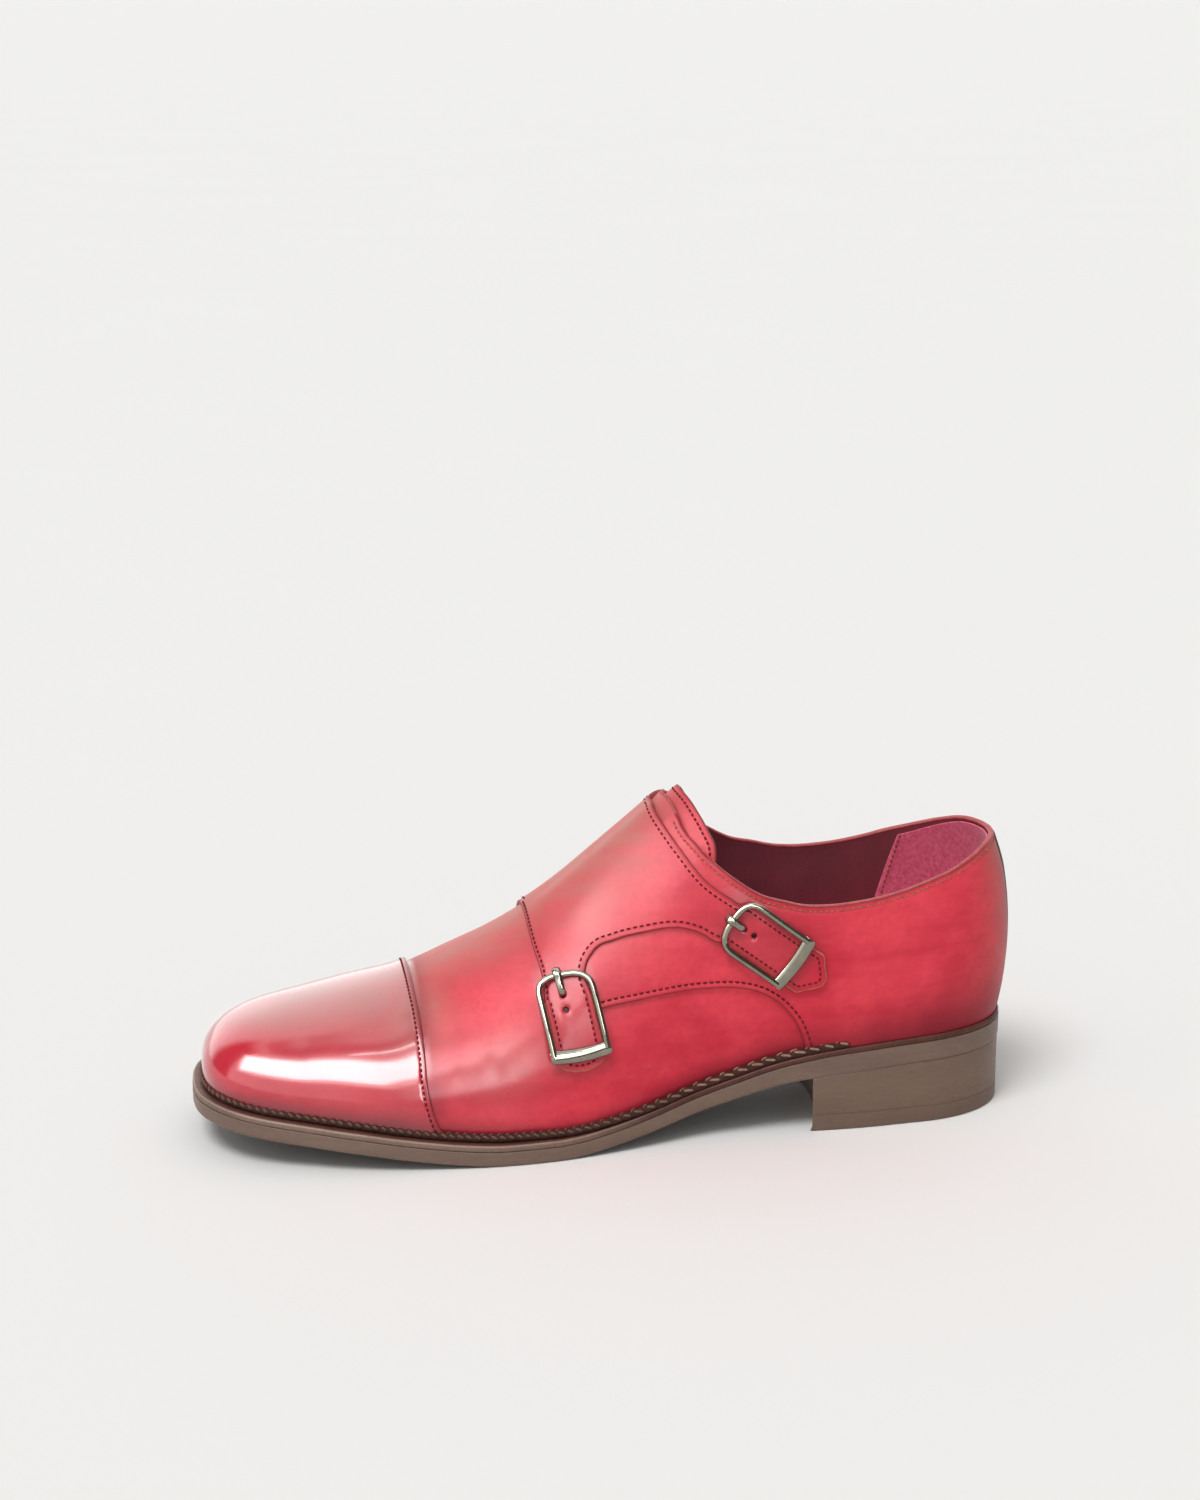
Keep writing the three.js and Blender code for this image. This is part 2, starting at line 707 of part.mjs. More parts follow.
/** How far the panel lies over the last: on the vamp in front, on the outer quarter behind. */
function panelOffset(t, side, v) {
  if (side === INNER) return GAP;
  const { front, back, heelStart, heelEnd, low, high } = PANEL_STEP;
  const overQuarter = smooth(-t, -front, -back) * smooth(t, heelStart, heelEnd) * (1 - smooth(v, low, high));
  return GAP + overQuarter * (OUTER_LAYER - GAP);
}

/** A round hole through a strap. */
function holeTool(strap, a, b, width) {
  const floor = onStrap(strap, a, b, 0);
  const top = onStrap(strap, a, b, OUTER_LAYER + 3 * PANEL_THICKNESS);
  const axis = top.clone().sub(floor);
  const geometry = new THREE.CylinderGeometry(width / 2, width / 2, axis.length(), HOLE_SIDES);
  const upright = new THREE.Vector3(0, 1, 0);
  geometry.applyQuaternion(new THREE.Quaternion().setFromUnitVectors(upright, axis.clone().normalize()));
  const middle = floor.add(top).multiplyScalar(0.5);
  geometry.translate(middle.x, middle.y, middle.z);
  return fromGeometry(geometry);
}

/** Where a strap's holes lie along it: the prong's hole first, then the spare one. */
const holePlaces = () => {
  const first = HOLE_FROM_ARCH - BUCKLE_LENGTH / 2;
  return [first, first + HOLE_PITCH];
};

function makePanel(collar, bead) {
  const half = PANEL_THICKNESS / 2;
  const outerSide = [
    overRidge(PANEL_FRONT_OUTER[0]),
    ...seam(PANEL_FRONT_OUTER, OUTER, GAP + half),
    ...strapCorners(STRAPS.front),
    ...seam(PANEL_WINDOW, OUTER, OUTER_LAYER + half),
    ...strapCorners(STRAPS.rear),
    ...seam(PANEL_TOP, OUTER, OUTER_LAYER + half),
    overRidge(PANEL_TOP[PANEL_TOP.length - 1]),
  ];
  const low = -HEEL_LIFT;
  const seamRow = seam(QUARTER_SEAM, INNER, GAP + half);
  const topRow = seam(PANEL_TOP_INNER, INNER, GAP + half);
  const innerSide = [
    overRidge(PANEL_FRONT_INNER[0]),
    ...seam(PANEL_FRONT_INNER, INNER, GAP + half),
    ...seamRow,
    corner(seamRow[seamRow.length - 1].x, low),
    corner(BALL_WIDTH, low),
    corner(BALL_WIDTH, FAR),
    corner(topRow[0].x, FAR),
    ...topRow,
    overRidge(PANEL_TOP[PANEL_TOP.length - 1]),
  ];
  const split = ridge(PANEL_TOP[PANEL_TOP.length - 1][0]).y;
  const back = ridge(COLLAR_FRONT).x;
  const behind = [corner(back, low), corner(BALL_WIDTH, low), corner(BALL_WIDTH, FAR), corner(back, FAR)];
  const outerLeather = prism(outerSide, -FAR, split + GAP);
  const innerLeather = prism(innerSide, split, FAR).subtract(prism(behind, -FAR, GAP / 2));
  const form = layer(panelOffset, PANEL_THICKNESS);
  let panel = form.intersect(outerLeather.add(innerLeather)).subtract(collar).subtract(bead);
  for (const strap of Object.values(STRAPS)) {
    const [prong, spare] = holePlaces();
    panel = panel.subtract(holeTool(strap, prong, strap.hole, PRONG_HOLE));
    panel = panel.subtract(holeTool(strap, spare, strap.hole, SPARE_HOLE));
  }
  return panel;
}

function makeQuarter(collar, bead) {
  const seamRow = seam(QUARTER_SEAM, OUTER, GAP + QUARTER_THICKNESS / 2);
  const low = -HEEL_LIFT;
  const corners = [
    ...seamRow,
    corner(seamRow[seamRow.length - 1].x, low),
    corner(BALL_WIDTH, low),
    corner(BALL_WIDTH, FAR),
    corner(seam([QUARTER_HIDDEN_EDGE[0]], OUTER, 0)[0].x, FAR),
    ...seam(QUARTER_HIDDEN_EDGE, OUTER, GAP + QUARTER_THICKNESS / 2),
  ];
  const leather = layer(GAP, QUARTER_THICKNESS).intersect(prism(corners, -FAR, -GAP / 2));
  return leather.subtract(collar).subtract(bead);
}

function makeCap(bead) {
  const seamRow = seam(CAP_SEAM, OUTER, GAP + CAP_THICKNESS / 2);
  const toe = -LAST_LENGTH - BALL_WIDTH;
  const corners = [
    corner(toe, -HEEL_LIFT),
    corner(seamRow[0].x, -HEEL_LIFT),
    ...seamRow,
    overRidge(CAP_SEAM[CAP_SEAM.length - 1]),
    corner(toe, FAR),
  ];
  return layer(GAP, CAP_THICKNESS).intersect(prism(corners, -FAR, FAR)).subtract(bead);
}

function makeTongue() {
  const inside = -UPPER_WALL - GAP - TONGUE_THICKNESS;
  const corners = [
    overRidge(TONGUE_EDGE[0]),
    ...seam(TONGUE_EDGE, OUTER, inside + TONGUE_THICKNESS / 2),
    overRidge(TONGUE_EDGE[TONGUE_EDGE.length - 1]),
  ];
  return layer(inside, TONGUE_THICKNESS).intersect(prism(corners, -FAR, FAR));
}

function makeBackStrip(collar) {
  const offset = GAP + Math.max(QUARTER_THICKNESS, PANEL_THICKNESS) + GAP;
  const x = -LAST_LENGTH * HEEL_PIVOT;
  const corners = [corner(x, -HEEL_LIFT), corner(FAR, -HEEL_LIFT), corner(FAR, FAR), corner(x, FAR)];
  const band = prism(corners, -STRIP_WIDTH / 2, STRIP_WIDTH / 2);
  return layer(offset, STRIP_THICKNESS).intersect(band).subtract(collar);
}

/** A tube through places given on a strap: along it, across it and above its leather. */
function wireOnStrap(strap, places, width, sides) {
  const path = places.map(([a, b, up]) => onStrap(strap, a, b, OUTER_LAYER + PANEL_THICKNESS + up));
  const { along, across } = strapFrame(strap);
  const rings = path.map((p, i) => {
    const before = path[Math.max(0, i - 1)];
    const after = path[Math.min(path.length - 1, i + 1)];
    const forwards = after.clone().sub(before).normalize();
    const normal = along.clone().cross(across).cross(forwards).normalize();
    const up = forwards.clone().cross(normal);
    return Array.from({ length: sides }, (_, k) => {
      const turn = (2 * Math.PI * (k + 0.5)) / sides;
      const out = normal.clone().multiplyScalar(Math.cos(turn)).addScaledVector(up, Math.sin(turn));
      return p.clone().addScaledVector(out, width / 2 / Math.cos(Math.PI / sides));
    });
  });
  return loft(rings);
}

function makeBuckle(strap) {
  const rise = GAP + BUCKLE_WIRE / 2;
  const half = (BUCKLE_WIDTH - BUCKLE_WIRE) / 2;
  const top = (BUCKLE_LENGTH - BUCKLE_WIRE) / 2;
  const bottom = BUCKLE_LENGTH / 2 - PLATE_LENGTH / 2;
  const bend = top - BUCKLE_CORNER;
  const leg = Array.from({ length: LEG_STEPS }, (_, i) => bottom - ((bottom + bend) * i) / LEG_STEPS);
  const arch = Array.from({ length: ARCH_STEPS + 1 }, (_, i) => {
    const turn = (Math.PI * i) / ARCH_STEPS;
    const side = Math.sign(Math.cos(turn)) * Math.abs(Math.cos(turn)) ** ARCH_SQUARENESS;
    return [-bend - BUCKLE_CORNER * Math.sin(turn) ** ARCH_SQUARENESS, -half * side, rise];
  });
  const path = [
    ...leg.map((a) => [a, -half, rise]),
    ...arch,
    ...[...leg].reverse().map((a) => [a, half, rise]),
  ];
  const frame = wireOnStrap(strap, path, BUCKLE_WIRE, WIRE_SIDES);
  const base = OUTER_LAYER + PANEL_THICKNESS + GAP;
  const rings = Array.from({ length: PLATE_STEPS + 1 }, (_, i) => {
    const b = BUCKLE_WIDTH * (i / PLATE_STEPS - 0.5);
    const bow = PLATE_BOW * Math.cos((Math.PI * b) / BUCKLE_WIDTH);
    const near = bottom - PLATE_LENGTH / 2 + bow;
    const far = bottom + PLATE_LENGTH / 2 + bow;
    const crown = [(near + far) / 2, 1];
    const profile = [[near, 0], [far, 0], [far, PLATE_EDGE], crown, [near, PLATE_EDGE]];
    return profile.map(([a, up]) => onStrap(strap, a, b, base + up * PLATE_THICKNESS));
  });
  return frame.add(loft(rings));
}

function makeProng(strap) {
  const [hole] = holePlaces();
  const archTop = -(BUCKLE_LENGTH - BUCKLE_WIRE) / 2;
  const over = GAP + BUCKLE_WIRE + 1.5 * GAP + PRONG_WIRE / 2;
  const places = [
    [hole, strap.hole, -PANEL_THICKNESS / 2],
    [hole, strap.hole, PRONG_WIRE / 2],
    [hole - PRONG_WIRE, strap.hole, over * PRONG_BEND],
    [archTop + BUCKLE_WIRE, strap.hole, over],
    [archTop, strap.hole, over],
    [archTop - BUCKLE_WIRE / 2, strap.hole, over],
  ];
  return wireOnStrap(strap, places, PRONG_WIRE, PRONG_SIDES);
}

// Finishes
const material = (color, roughness, metalness = 0) =>
  new THREE.MeshStandardMaterial({ color, roughness, metalness });
const vampLeather = material(0xb83a50, 0.3);
const capLeather = material(0xa8384a, 0.22);
const lining = material(0x50212f, 0.7);
const soleEdge = material(0x80695e, 0.6);
const weltLeather = material(0x5d3a33, 0.65);
const nickel = material(0xc9c4b8, 0.25, 1);

/** A named mesh of a solid. */
function piece(name, solid, finish) {
  const { vertProperties, triVerts } = solid.getMesh();
  const geometry = new THREE.BufferGeometry();
  geometry.setAttribute('position', new THREE.BufferAttribute(vertProperties, 3));
  geometry.setIndex(new THREE.BufferAttribute(triVerts, 1));
  geometry.computeVertexNormals();
  const mesh = new THREE.Mesh(geometry, finish);
  mesh.name = name;
  return mesh;
}

const collar = collarTool();
const beadClearance = beadStrip(GAP);
const heel = makeHeel();
const upper = layer(-UPPER_WALL, UPPER_WALL).subtract(collar);

const shoe = new THREE.Group();
shoe.add(piece('outsole', makeOutsole(), soleEdge));
shoe.add(piece('heel_block', heel.block, soleEdge));
shoe.add(piece('heel_top_piece', heel.topPiece, soleEdge));
shoe.add(piece('welt', makeWelt(), weltLeather));
shoe.add(piece('storm_bead', beadStrip(0).subtract(lastForm(GAP, BEAD_HEIGHT)), weltLeather));
shoe.add(piece('insole', makeInsole(), lining));
shoe.add(piece('upper', upper, vampLeather));
shoe.add(piece('tongue', makeTongue(), vampLeather));
shoe.add(piece('toe_cap', makeCap(beadClearance), capLeather));
shoe.add(piece('quarter_lateral', makeQuarter(collar, beadClearance), vampLeather));
shoe.add(piece('strap_panel', makePanel(collar, beadClearance), vampLeather));
shoe.add(piece('back_strip', makeBackStrip(collar), vampLeather));
for (const [name, strap] of Object.entries(STRAPS)) {
  shoe.add(piece(`buckle_${name}`, makeBuckle(strap), nickel));
  shoe.add(piece(`prong_${name}`, makeProng(strap), nickel));
}

// The shoe is centred over the origin.
const box = new THREE.Box3().setFromObject(shoe);
const centre = box.getCenter(new THREE.Vector3());
shoe.position.set(-centre.x, -centre.y, 0);

export default shoe;
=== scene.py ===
"""A left double monk strap shoe with a toe cap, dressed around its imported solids.

Shapes are worked out in the last's own frame, in millimetres: x = 0 at the back of the feather edge,
the toe to -x, the outer side with the buckles to -y, the floor at z = 0. A place on the last is a
pair (l, s): l runs along the feather edge from the heel's back to the toe's tip, and s goes from -1
at the outer feather edge over 0 on the ridge to 1 at the inner feather edge.
"""

from __future__ import annotations

import logging
import math
from dataclasses import dataclass, field
from enum import Enum
from functools import cached_property
from typing import Callable, Sequence

import bmesh
import bpy
import numpy as np
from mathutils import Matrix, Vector
from mathutils.geometry import delaunay_2d_cdt

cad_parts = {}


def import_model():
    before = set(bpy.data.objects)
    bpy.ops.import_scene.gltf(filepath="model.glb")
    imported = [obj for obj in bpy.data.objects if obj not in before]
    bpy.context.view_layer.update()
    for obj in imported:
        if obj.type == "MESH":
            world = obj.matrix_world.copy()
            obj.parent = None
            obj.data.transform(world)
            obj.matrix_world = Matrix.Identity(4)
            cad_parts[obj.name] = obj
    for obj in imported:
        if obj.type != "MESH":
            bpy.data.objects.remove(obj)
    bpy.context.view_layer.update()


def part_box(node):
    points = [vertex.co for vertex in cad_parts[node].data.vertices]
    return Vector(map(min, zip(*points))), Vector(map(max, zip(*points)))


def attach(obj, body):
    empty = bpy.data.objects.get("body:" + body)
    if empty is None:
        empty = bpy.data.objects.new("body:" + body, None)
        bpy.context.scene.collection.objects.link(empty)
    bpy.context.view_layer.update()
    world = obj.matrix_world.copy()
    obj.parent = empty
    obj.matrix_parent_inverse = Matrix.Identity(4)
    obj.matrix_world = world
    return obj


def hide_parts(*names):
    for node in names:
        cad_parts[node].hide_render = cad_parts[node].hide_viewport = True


LOG = logging.getLogger("shoe")
Array = np.ndarray
Colour = tuple[float, float, float]

OUTER = -1.0
INNER = 1.0
MM = 0.001
WELD = 3e-6
SHORTEST_EDGE = 1e-6
SHARP_ANGLE = math.radians(50)
TABLE_SAMPLES = 2001
HALF_TURN = math.pi
FULL_TURN = 2 * math.pi


class Edge(Enum):
    """What a stretch of a leather piece's rim is."""

    CUT = "a cut edge that shows"
    HIDDEN = "a plain wall under another piece"
    FOLD = "the line where outer and inner side meet in one surface"


# Helpers for curves


def ease(value: Array | float, low: float, high: float) -> Array:
    """Rises smoothly from 0 at low to 1 at high."""
    share = np.clip((np.asarray(value, float) - low) / (high - low), 0, 1)
    return share * share * (3 - 2 * share)


def bump(value: Array | float, centre: float, width: float) -> Array:
    """A bell of height 1 around a centre."""
    return np.exp(-(((np.asarray(value, float) - centre) / width) ** 2))


def hermite(xs: Array, ys: Array, x: Array) -> Array:
    """Cubic curve through points, with each tangent weighted between its neighbours' slopes."""
    steps = np.diff(xs)
    slopes = np.diff(ys) / steps
    tangents = np.empty_like(ys)
    tangents[1:-1] = (slopes[:-1] * steps[1:] + slopes[1:] * steps[:-1]) / (steps[:-1] + steps[1:])
    tangents[0] = slopes[0]
    tangents[-1] = slopes[-1]
    i = np.clip(np.searchsorted(xs, x, side="right") - 1, 0, len(xs) - 2)
    s = np.clip((x - xs[i]) / steps[i], 0, 1)
    start = (2 * s - 3) * s * s + 1
    leave = ((s - 2) * s + 1) * s * steps[i]
    end = (3 - 2 * s) * s * s
    arrive = (s - 1) * s * s * steps[i]
    return start * ys[i] + leave * tangents[i] + end * ys[i + 1] + arrive * tangents[i + 1]


def soften(values: Array, reach: float) -> Array:
    """Averages a sampled curve with a bell of the given reach in samples, keeping its end values."""
    if reach < 1:
        return values
    pad = int(3 * reach)
    kernel = bump(np.arange(-pad, pad + 1), 0, reach * math.sqrt(2))
    before = 2 * values[0] - values[pad:0:-1]
    after = 2 * values[-1] - values[-2 : -pad - 2 : -1]
    return np.convolve(np.concatenate([before, values, after]), kernel / kernel.sum(), "valid")


def unit(vectors: Array) -> Array:
    """Vectors scaled to length 1."""
    return vectors / np.maximum(np.linalg.norm(vectors, axis=-1, keepdims=True), 1e-12)


def dot(a: Array, b: Array) -> Array:
    """Scalar product along the last axis."""
    return (a * b).sum(-1)


def smooth_path(points: Sequence[Sequence[float]], weights: Sequence[float], steps: int = 16) -> Array:
    """A smooth curve through points, run at the pace of its chords.

    Args:
        points: Places (l, s).
        weights: Millimetres that one unit of l and of s stand for.
        steps: Samples between two points.

    Returns:
        Places along the curve.
    """
    control = np.array(points, float)
    chords = np.linalg.norm(np.diff(control, axis=0) * np.array(weights), axis=1)
    pace = np.concatenate([[0], np.cumsum(chords)])
    fine = np.interp(np.arange((len(pace) - 1) * steps + 1) / steps, np.arange(len(pace)), pace)
    return np.stack([hermite(pace, column, fine) for column in control.T], -1)


def run_lengths(points: Array) -> Array:
    """The length along a polyline up to each of its points."""
    return np.concatenate([[0], np.cumsum(np.linalg.norm(np.diff(points, axis=0), axis=1))])


def read_rows(at: Array, known: Array, rows: Array) -> Array:
    """Rows that belong to known rising values, read between them."""
    return np.stack([np.interp(at, known, column) for column in rows.T], -1)


def arc(value: Array, power: float) -> Array:
    """A sine or cosine raised to a power that keeps its sign."""
    return np.sign(value) * np.abs(value) ** power


@dataclass(frozen=True)
class Columns:
    """A short table with named columns over the share t of the last's length."""

    names: tuple[str, ...]
    rows: tuple[tuple[float, ...], ...]
    softness: float = 0.008

    @cached_property
    def dense(self) -> dict[str, Array]:
        """Each column as a softened curve."""
        data = np.array(self.rows)
        t = np.linspace(0, 1, TABLE_SAMPLES)
        curves = {"t": t}
        for name, column in zip(self.names[1:], data.T[1:]):
            curves[name] = soften(hermite(data[:, 0], column, t), self.softness * TABLE_SAMPLES)
        return curves

    def read(self, name: str, t: Array | float) -> Array:
        """The column's value at t."""
        return np.interp(t, self.dense["t"], self.dense[name])


# Tables of the last and of the bottom, as shares of the sizes in Last

SECTIONS = Columns(
    ("t", "outer", "inner", "ridge", "ridge_y", "bulge_outer", "bulge_inner", "low", "high"),
    (
        (0.0, 0.32, 0.32, 0.997, 0.0, 0.144, 0.144, 0.5, 0.5),
        (0.06, 0.326, 0.331, 1.001, 0.0, 0.133, 0.133, 0.54, 0.54),
        (0.12, 0.337, 0.343, 1.007, 0.0, 0.099, 0.099, 0.62, 0.66),
        (0.2, 0.36, 0.337, 1.02, 0.0, 0.077, 0.077, 0.68, 0.74),
        (0.26, 0.36, 0.314, 1.038, 0.0, 0.072, 0.088, 0.68, 0.74),
        (0.31, 0.349, 0.284, 1.05, 0.006, 0.066, 0.105, 0.66, 0.72),
        (0.355, 0.354, 0.265, 1.012, 0.011, 0.061, 0.122, 0.6, 0.66),
        (0.41, 0.37, 0.274, 0.943, 0.022, 0.055, 0.122, 0.55, 0.58),
        (0.455, 0.406, 0.309, 0.875, 0.033, 0.05, 0.105, 0.52, 0.52),
        (0.51, 0.442, 0.37, 0.785, 0.044, 0.044, 0.083, 0.5, 0.52),
        (0.56, 0.466, 0.425, 0.697, 0.05, 0.039, 0.055, 0.5, 0.52),
        (0.615, 0.482, 0.475, 0.601, 0.055, 0.033, 0.039, 0.52, 0.54),
        (0.69, 0.484, 0.516, 0.494, 0.061, 0.028, 0.028, 0.54, 0.56),
        (0.76, 0.475, 0.519, 0.388, 0.061, 0.028, 0.022, 0.58, 0.58),
        (0.82, 0.459, 0.506, 0.329, 0.055, 0.028, 0.022, 0.62, 0.6),
        (0.882, 0.442, 0.47, 0.275, 0.044, 0.028, 0.028, 0.64, 0.62),
        (0.94, 0.453, 0.448, 0.233, 0.033, 0.035, 0.033, 0.64, 0.62),
        (1.0, 0.464, 0.464, 0.169, 0.022, 0.049, 0.049, 0.66, 0.62),
    ),
)

SOLE_LINE = Columns(
    ("t", "heel", "toe"),
    (
        (0.0, 1, 0),
        (0.1, 0.976, 0),
        (0.18, 0.919, 0),
        (0.257, 0.829, 0),
        (0.305, 0.728, 0),
        (0.355, 0.577, 0),
        (0.405, 0.423, 0),
        (0.46, 0.248, 0),
        (0.512, 0.11, 0),
        (0.552, 0.028, 0),
        (0.58, 0, 0),
        (0.655, 0, 0),
        (0.7, 0, 0.09),
        (0.76, 0, 0.287),
        (0.82, 0, 0.516),
        (0.89, 0, 0.73),
        (0.95, 0, 0.885),
        (1.0, 0, 1),
    ),
    softness=0.004,
)

BOTTOM = Columns(
    ("t", "outsole", "overhang"),
    (
        (0.0, 1.37, 0.4),
        (0.12, 1.33, 0.4),
        (0.25, 1.33, 0.45),
        (0.32, 1.19, 0.5),
        (0.4, 1.07, 0.54),
        (0.5, 1.0, 0.7),
        (0.6, 1.0, 0.95),
        (0.75, 1.0, 1.0),
        (1.0, 1.0, 0.96),
    ),
)

COLLAR = Columns(
    ("t", "outer", "inner"),
    (
        (0.0, 0.423, 0.423),
        (0.02, 0.415, 0.416),
        (0.05, 0.39, 0.391),
        (0.1, 0.336, 0.34),
        (0.15, 0.292, 0.302),
        (0.2, 0.27, 0.284),
        (0.25, 0.268, 0.289),
        (0.287, 0.285, 0.314),
        (0.324, 0.332, 0.363),
        (0.353, 0.409, 0.442),
        (0.38, 0.503, 0.533),
        (0.401, 0.603, 0.625),
        (0.416, 0.715, 0.724),
        (0.43, 1, 1),
    ),
    softness=0.002,
)
COLLAR_FRONT = 0.43

# Seams as places (t, v), v from the feather edge to the ridge

CAP_SEAM = (
    (0.722, 0.0), (0.733, 0.1), (0.74, 0.228), (0.741, 0.357), (0.743, 0.562), (0.746, 0.802), (0.747, 1.0),
)
QUARTER_SEAM = (
    (0.558, 0.355),
    (0.522, 0.338),
    (0.482, 0.302),
    (0.437, 0.258),
    (0.396, 0.215),
    (0.353, 0.17),
    (0.318, 0.122),
    (0.294, 0.083),
    (0.279, 0.05),
    (0.266, 0.0),
)
QUARTER_MEETS_COLLAR = 0.419
QUARTER_HIDDEN_EDGE = ((0.47, 0.78), (0.558, 0.74))
PANEL_MEETS_COLLAR = 0.396
PANEL_FRONT_OUTER = ((0.604, 1.0), (0.601, 0.705), (0.594, 0.535))
PANEL_FRONT_INNER = ((0.604, 1.0), (0.603, 0.7), (0.6, 0.5), (0.592, 0.42))
PANEL_WINDOW = (
    (0.542, 0.473),
    (0.539, 0.503),
    (0.527, 0.527),
    (0.505, 0.512),
    (0.472, 0.473),
    (0.427, 0.408),
    (0.405, 0.362),
    (0.378, 0.3),
)
PANEL_TOP = ((0.349, 0.35), (0.365, 0.39), (0.391, 0.473), (0.415, 0.603), (0.436, 0.795), (0.442, 1.0))
PANEL_TOP_INNER = ((0.4, 0.66), (0.416, 0.78), (0.432, 0.9), (0.442, 1.0))
TONGUE_TOP = (
    (0.45, 0.5), (0.41, 0.45), (0.38, 0.49), (0.379, 0.54), (0.388, 0.63), (0.401, 0.76), (0.414, 1.0),
)


@dataclass(frozen=True)
class Last:
    """The form that the shoe is made on, with the heights of the bottom under it. Millimetres."""

    length: float = 291
    ball_width: float = 90.5
    cone_height: float = 113
    toe_offset: float = 2
    toe_turn: float = 0.7
    heel_pivot: float = 0.125
    toe_pivot: float = 0.882
    toe_round_start: float = 0.76
    heel_roundness: float = 2.1
    toe_roundness: float = 2.5
    heel_lift: float = 24.6
    toe_spring: float = 12.2
    outsole: float = 5.4
    widest_overhang: float = 6
    welt: float = 1.9
    gap: float = 0.3
    girth: float = 85
    slope_step: float = 1e-3
    step_l: float = 0.25
    step_s: float = 0.003

    def sole_bottom(self, x: Array) -> Array:
        """Height of the outsole's underside at x."""
        t = -x / self.length
        lifted = self.heel_lift * SOLE_LINE.read("heel", t) + self.toe_spring * SOLE_LINE.read("toe", t)
        return np.maximum(0, lifted)

    def sole_top(self, x: Array) -> Array:
        """Height of the outsole's upper face at x."""
        return self.sole_bottom(x) + self.outsole * BOTTOM.read("outsole", -x / self.length)

    def welt_bottom(self, x: Array) -> Array:
        """Height of the welt's lower face at x."""
        return self.sole_top(x) + self.gap

    def welt_top(self, x: Array) -> Array:
        """Height of the welt's upper face at x."""
        return self.welt_bottom(x) + self.welt

    def feather(self, x: Array) -> Array:
        """Height of the last's lower edge at x."""
        return self.welt_top(x) + self.gap

    def overhang(self, t: Array) -> Array:
        """How far the outsole stands out past the last."""
        return self.widest_overhang * BOTTOM.read("overhang", t)

    def roundness(self, t: Array) -> Array:
        """How far the outline has opened at t, as two superellipses at the ends."""
        heel = np.maximum(0, (self.heel_pivot - t) / self.heel_pivot)
        toe = np.maximum(0, (t - self.toe_round_start) / (1 - self.toe_round_start))
        heel_part = np.maximum(0, 1 - heel**self.heel_roundness) ** (1 / self.heel_roundness)
        toe_part = np.maximum(0, 1 - toe**self.toe_roundness) ** (1 / self.toe_roundness)
        return heel_part * toe_part

    def outline(
        self, t: Array, side: Array | float, outwards: Callable[[Array], Array]
    ) -> tuple[Array, Array]:
        """The feather edge in plan, moved outwards.

        Args:
            t: Shares of the length.
            side: OUTER or INNER for each.
            outwards: How far the edge moves at t, in millimetres.

        Returns:
            The x and y of each point.
        """
        back = outwards(np.zeros(1))[0]
        front = -self.length - outwards(np.ones(1))[0]
        share = np.where(np.asarray(side) < 0, SECTIONS.read("outer", t), SECTIONS.read("inner", t))
        half = self.ball_width * share + outwards(t)
        middle = self.toe_offset * np.maximum(0, (t - self.toe_turn) / (1 - self.toe_turn)) ** 2
        return back + (front - back) * t, middle + side * half * self.roundness(t)

    def ridge_height(self, t: Array) -> Array:
        """Height of the ridge over the floor."""
        return self.feather(-self.length * t) + self.cone_height * SECTIONS.read("ridge", t)

    def surface(self, t: Array, side: Array, v: Array) -> Array:
        """The last at t, on a side, at v of the way from feather edge to ridge.

        A section is a cubic curve in an upright plane through the ridge's point: it leaves the feather
        edge upwards, swells by the bulge and closes on the ridge with the ridge's own slope.
        """
        zero = np.zeros_like(t)
        foot_x, foot_y = self.outline(t, side, lambda share: 0 * share)
        foot_z = self.feather(foot_x)
        pivot = np.clip(t, self.heel_pivot, self.toe_pivot)
        top_x = -self.length * pivot
        top_y = self.ball_width * SECTIONS.read("ridge_y", pivot)
        top_z = self.ridge_height(pivot)
        step = self.slope_step
        climb = self.ridge_height(pivot + step) - self.ridge_height(pivot - step)
        rise = climb / (2 * step * -self.length)
        away_x, away_y = foot_x - top_x, foot_y - top_y
        reach = np.maximum(np.hypot(away_x, away_y), 1e-9)
        away_x, away_y = away_x / reach, away_y / reach
        bulge = self.ball_width * np.where(
            side < 0, SECTIONS.read("bulge_outer", t), SECTIONS.read("bulge_inner", t)
        )
        low, high = SECTIONS.read("low", t), SECTIONS.read("high", t)
        shoulder = top_z + rise * away_x * high * reach
        weights = ((1 - v) ** 3, 3 * v * (1 - v) ** 2, 3 * v * v * (1 - v), v**3)
        radii = (reach, reach + bulge, high * reach, zero)
        heights = (foot_z, foot_z + low * (top_z - foot_z), shoulder, top_z)
        radius = sum(w * r for w, r in zip(weights, radii))
        height = sum(w * h for w, h in zip(weights, heights))
        return np.stack([top_x + away_x * radius, top_y + away_y * radius, height], -1)

    @cached_property
    def edge_lengths(self) -> tuple[Array, Array]:
        """Shares t and the mean length of the feather edge from the heel's back to each."""
        t = (1 - np.cos(np.linspace(0, HALF_TURN, 6001))) / 2
        lengths = []
        for side in (OUTER, INNER):
            x, y = self.outline(t, side, lambda share: 0 * share)
            lengths.append(np.concatenate([[0], np.cumsum(np.hypot(np.diff(x), np.diff(y)))]))
        return t, (lengths[0] + lengths[1]) / 2

    @property
    def reach(self) -> float:
        """Length of the feather edge from the heel's back to the toe's tip."""
        return float(self.edge_lengths[1][-1])

    def share(self, l: Array) -> Array:
        """The share t at the length l along the feather edge."""
        t, lengths = self.edge_lengths
        return np.interp(l, lengths, t)

    def along(self, t: Array | float) -> Array:
        """The length l along the feather edge at the share t."""
        shares, lengths = self.edge_lengths
        return np.interp(t, shares, lengths)

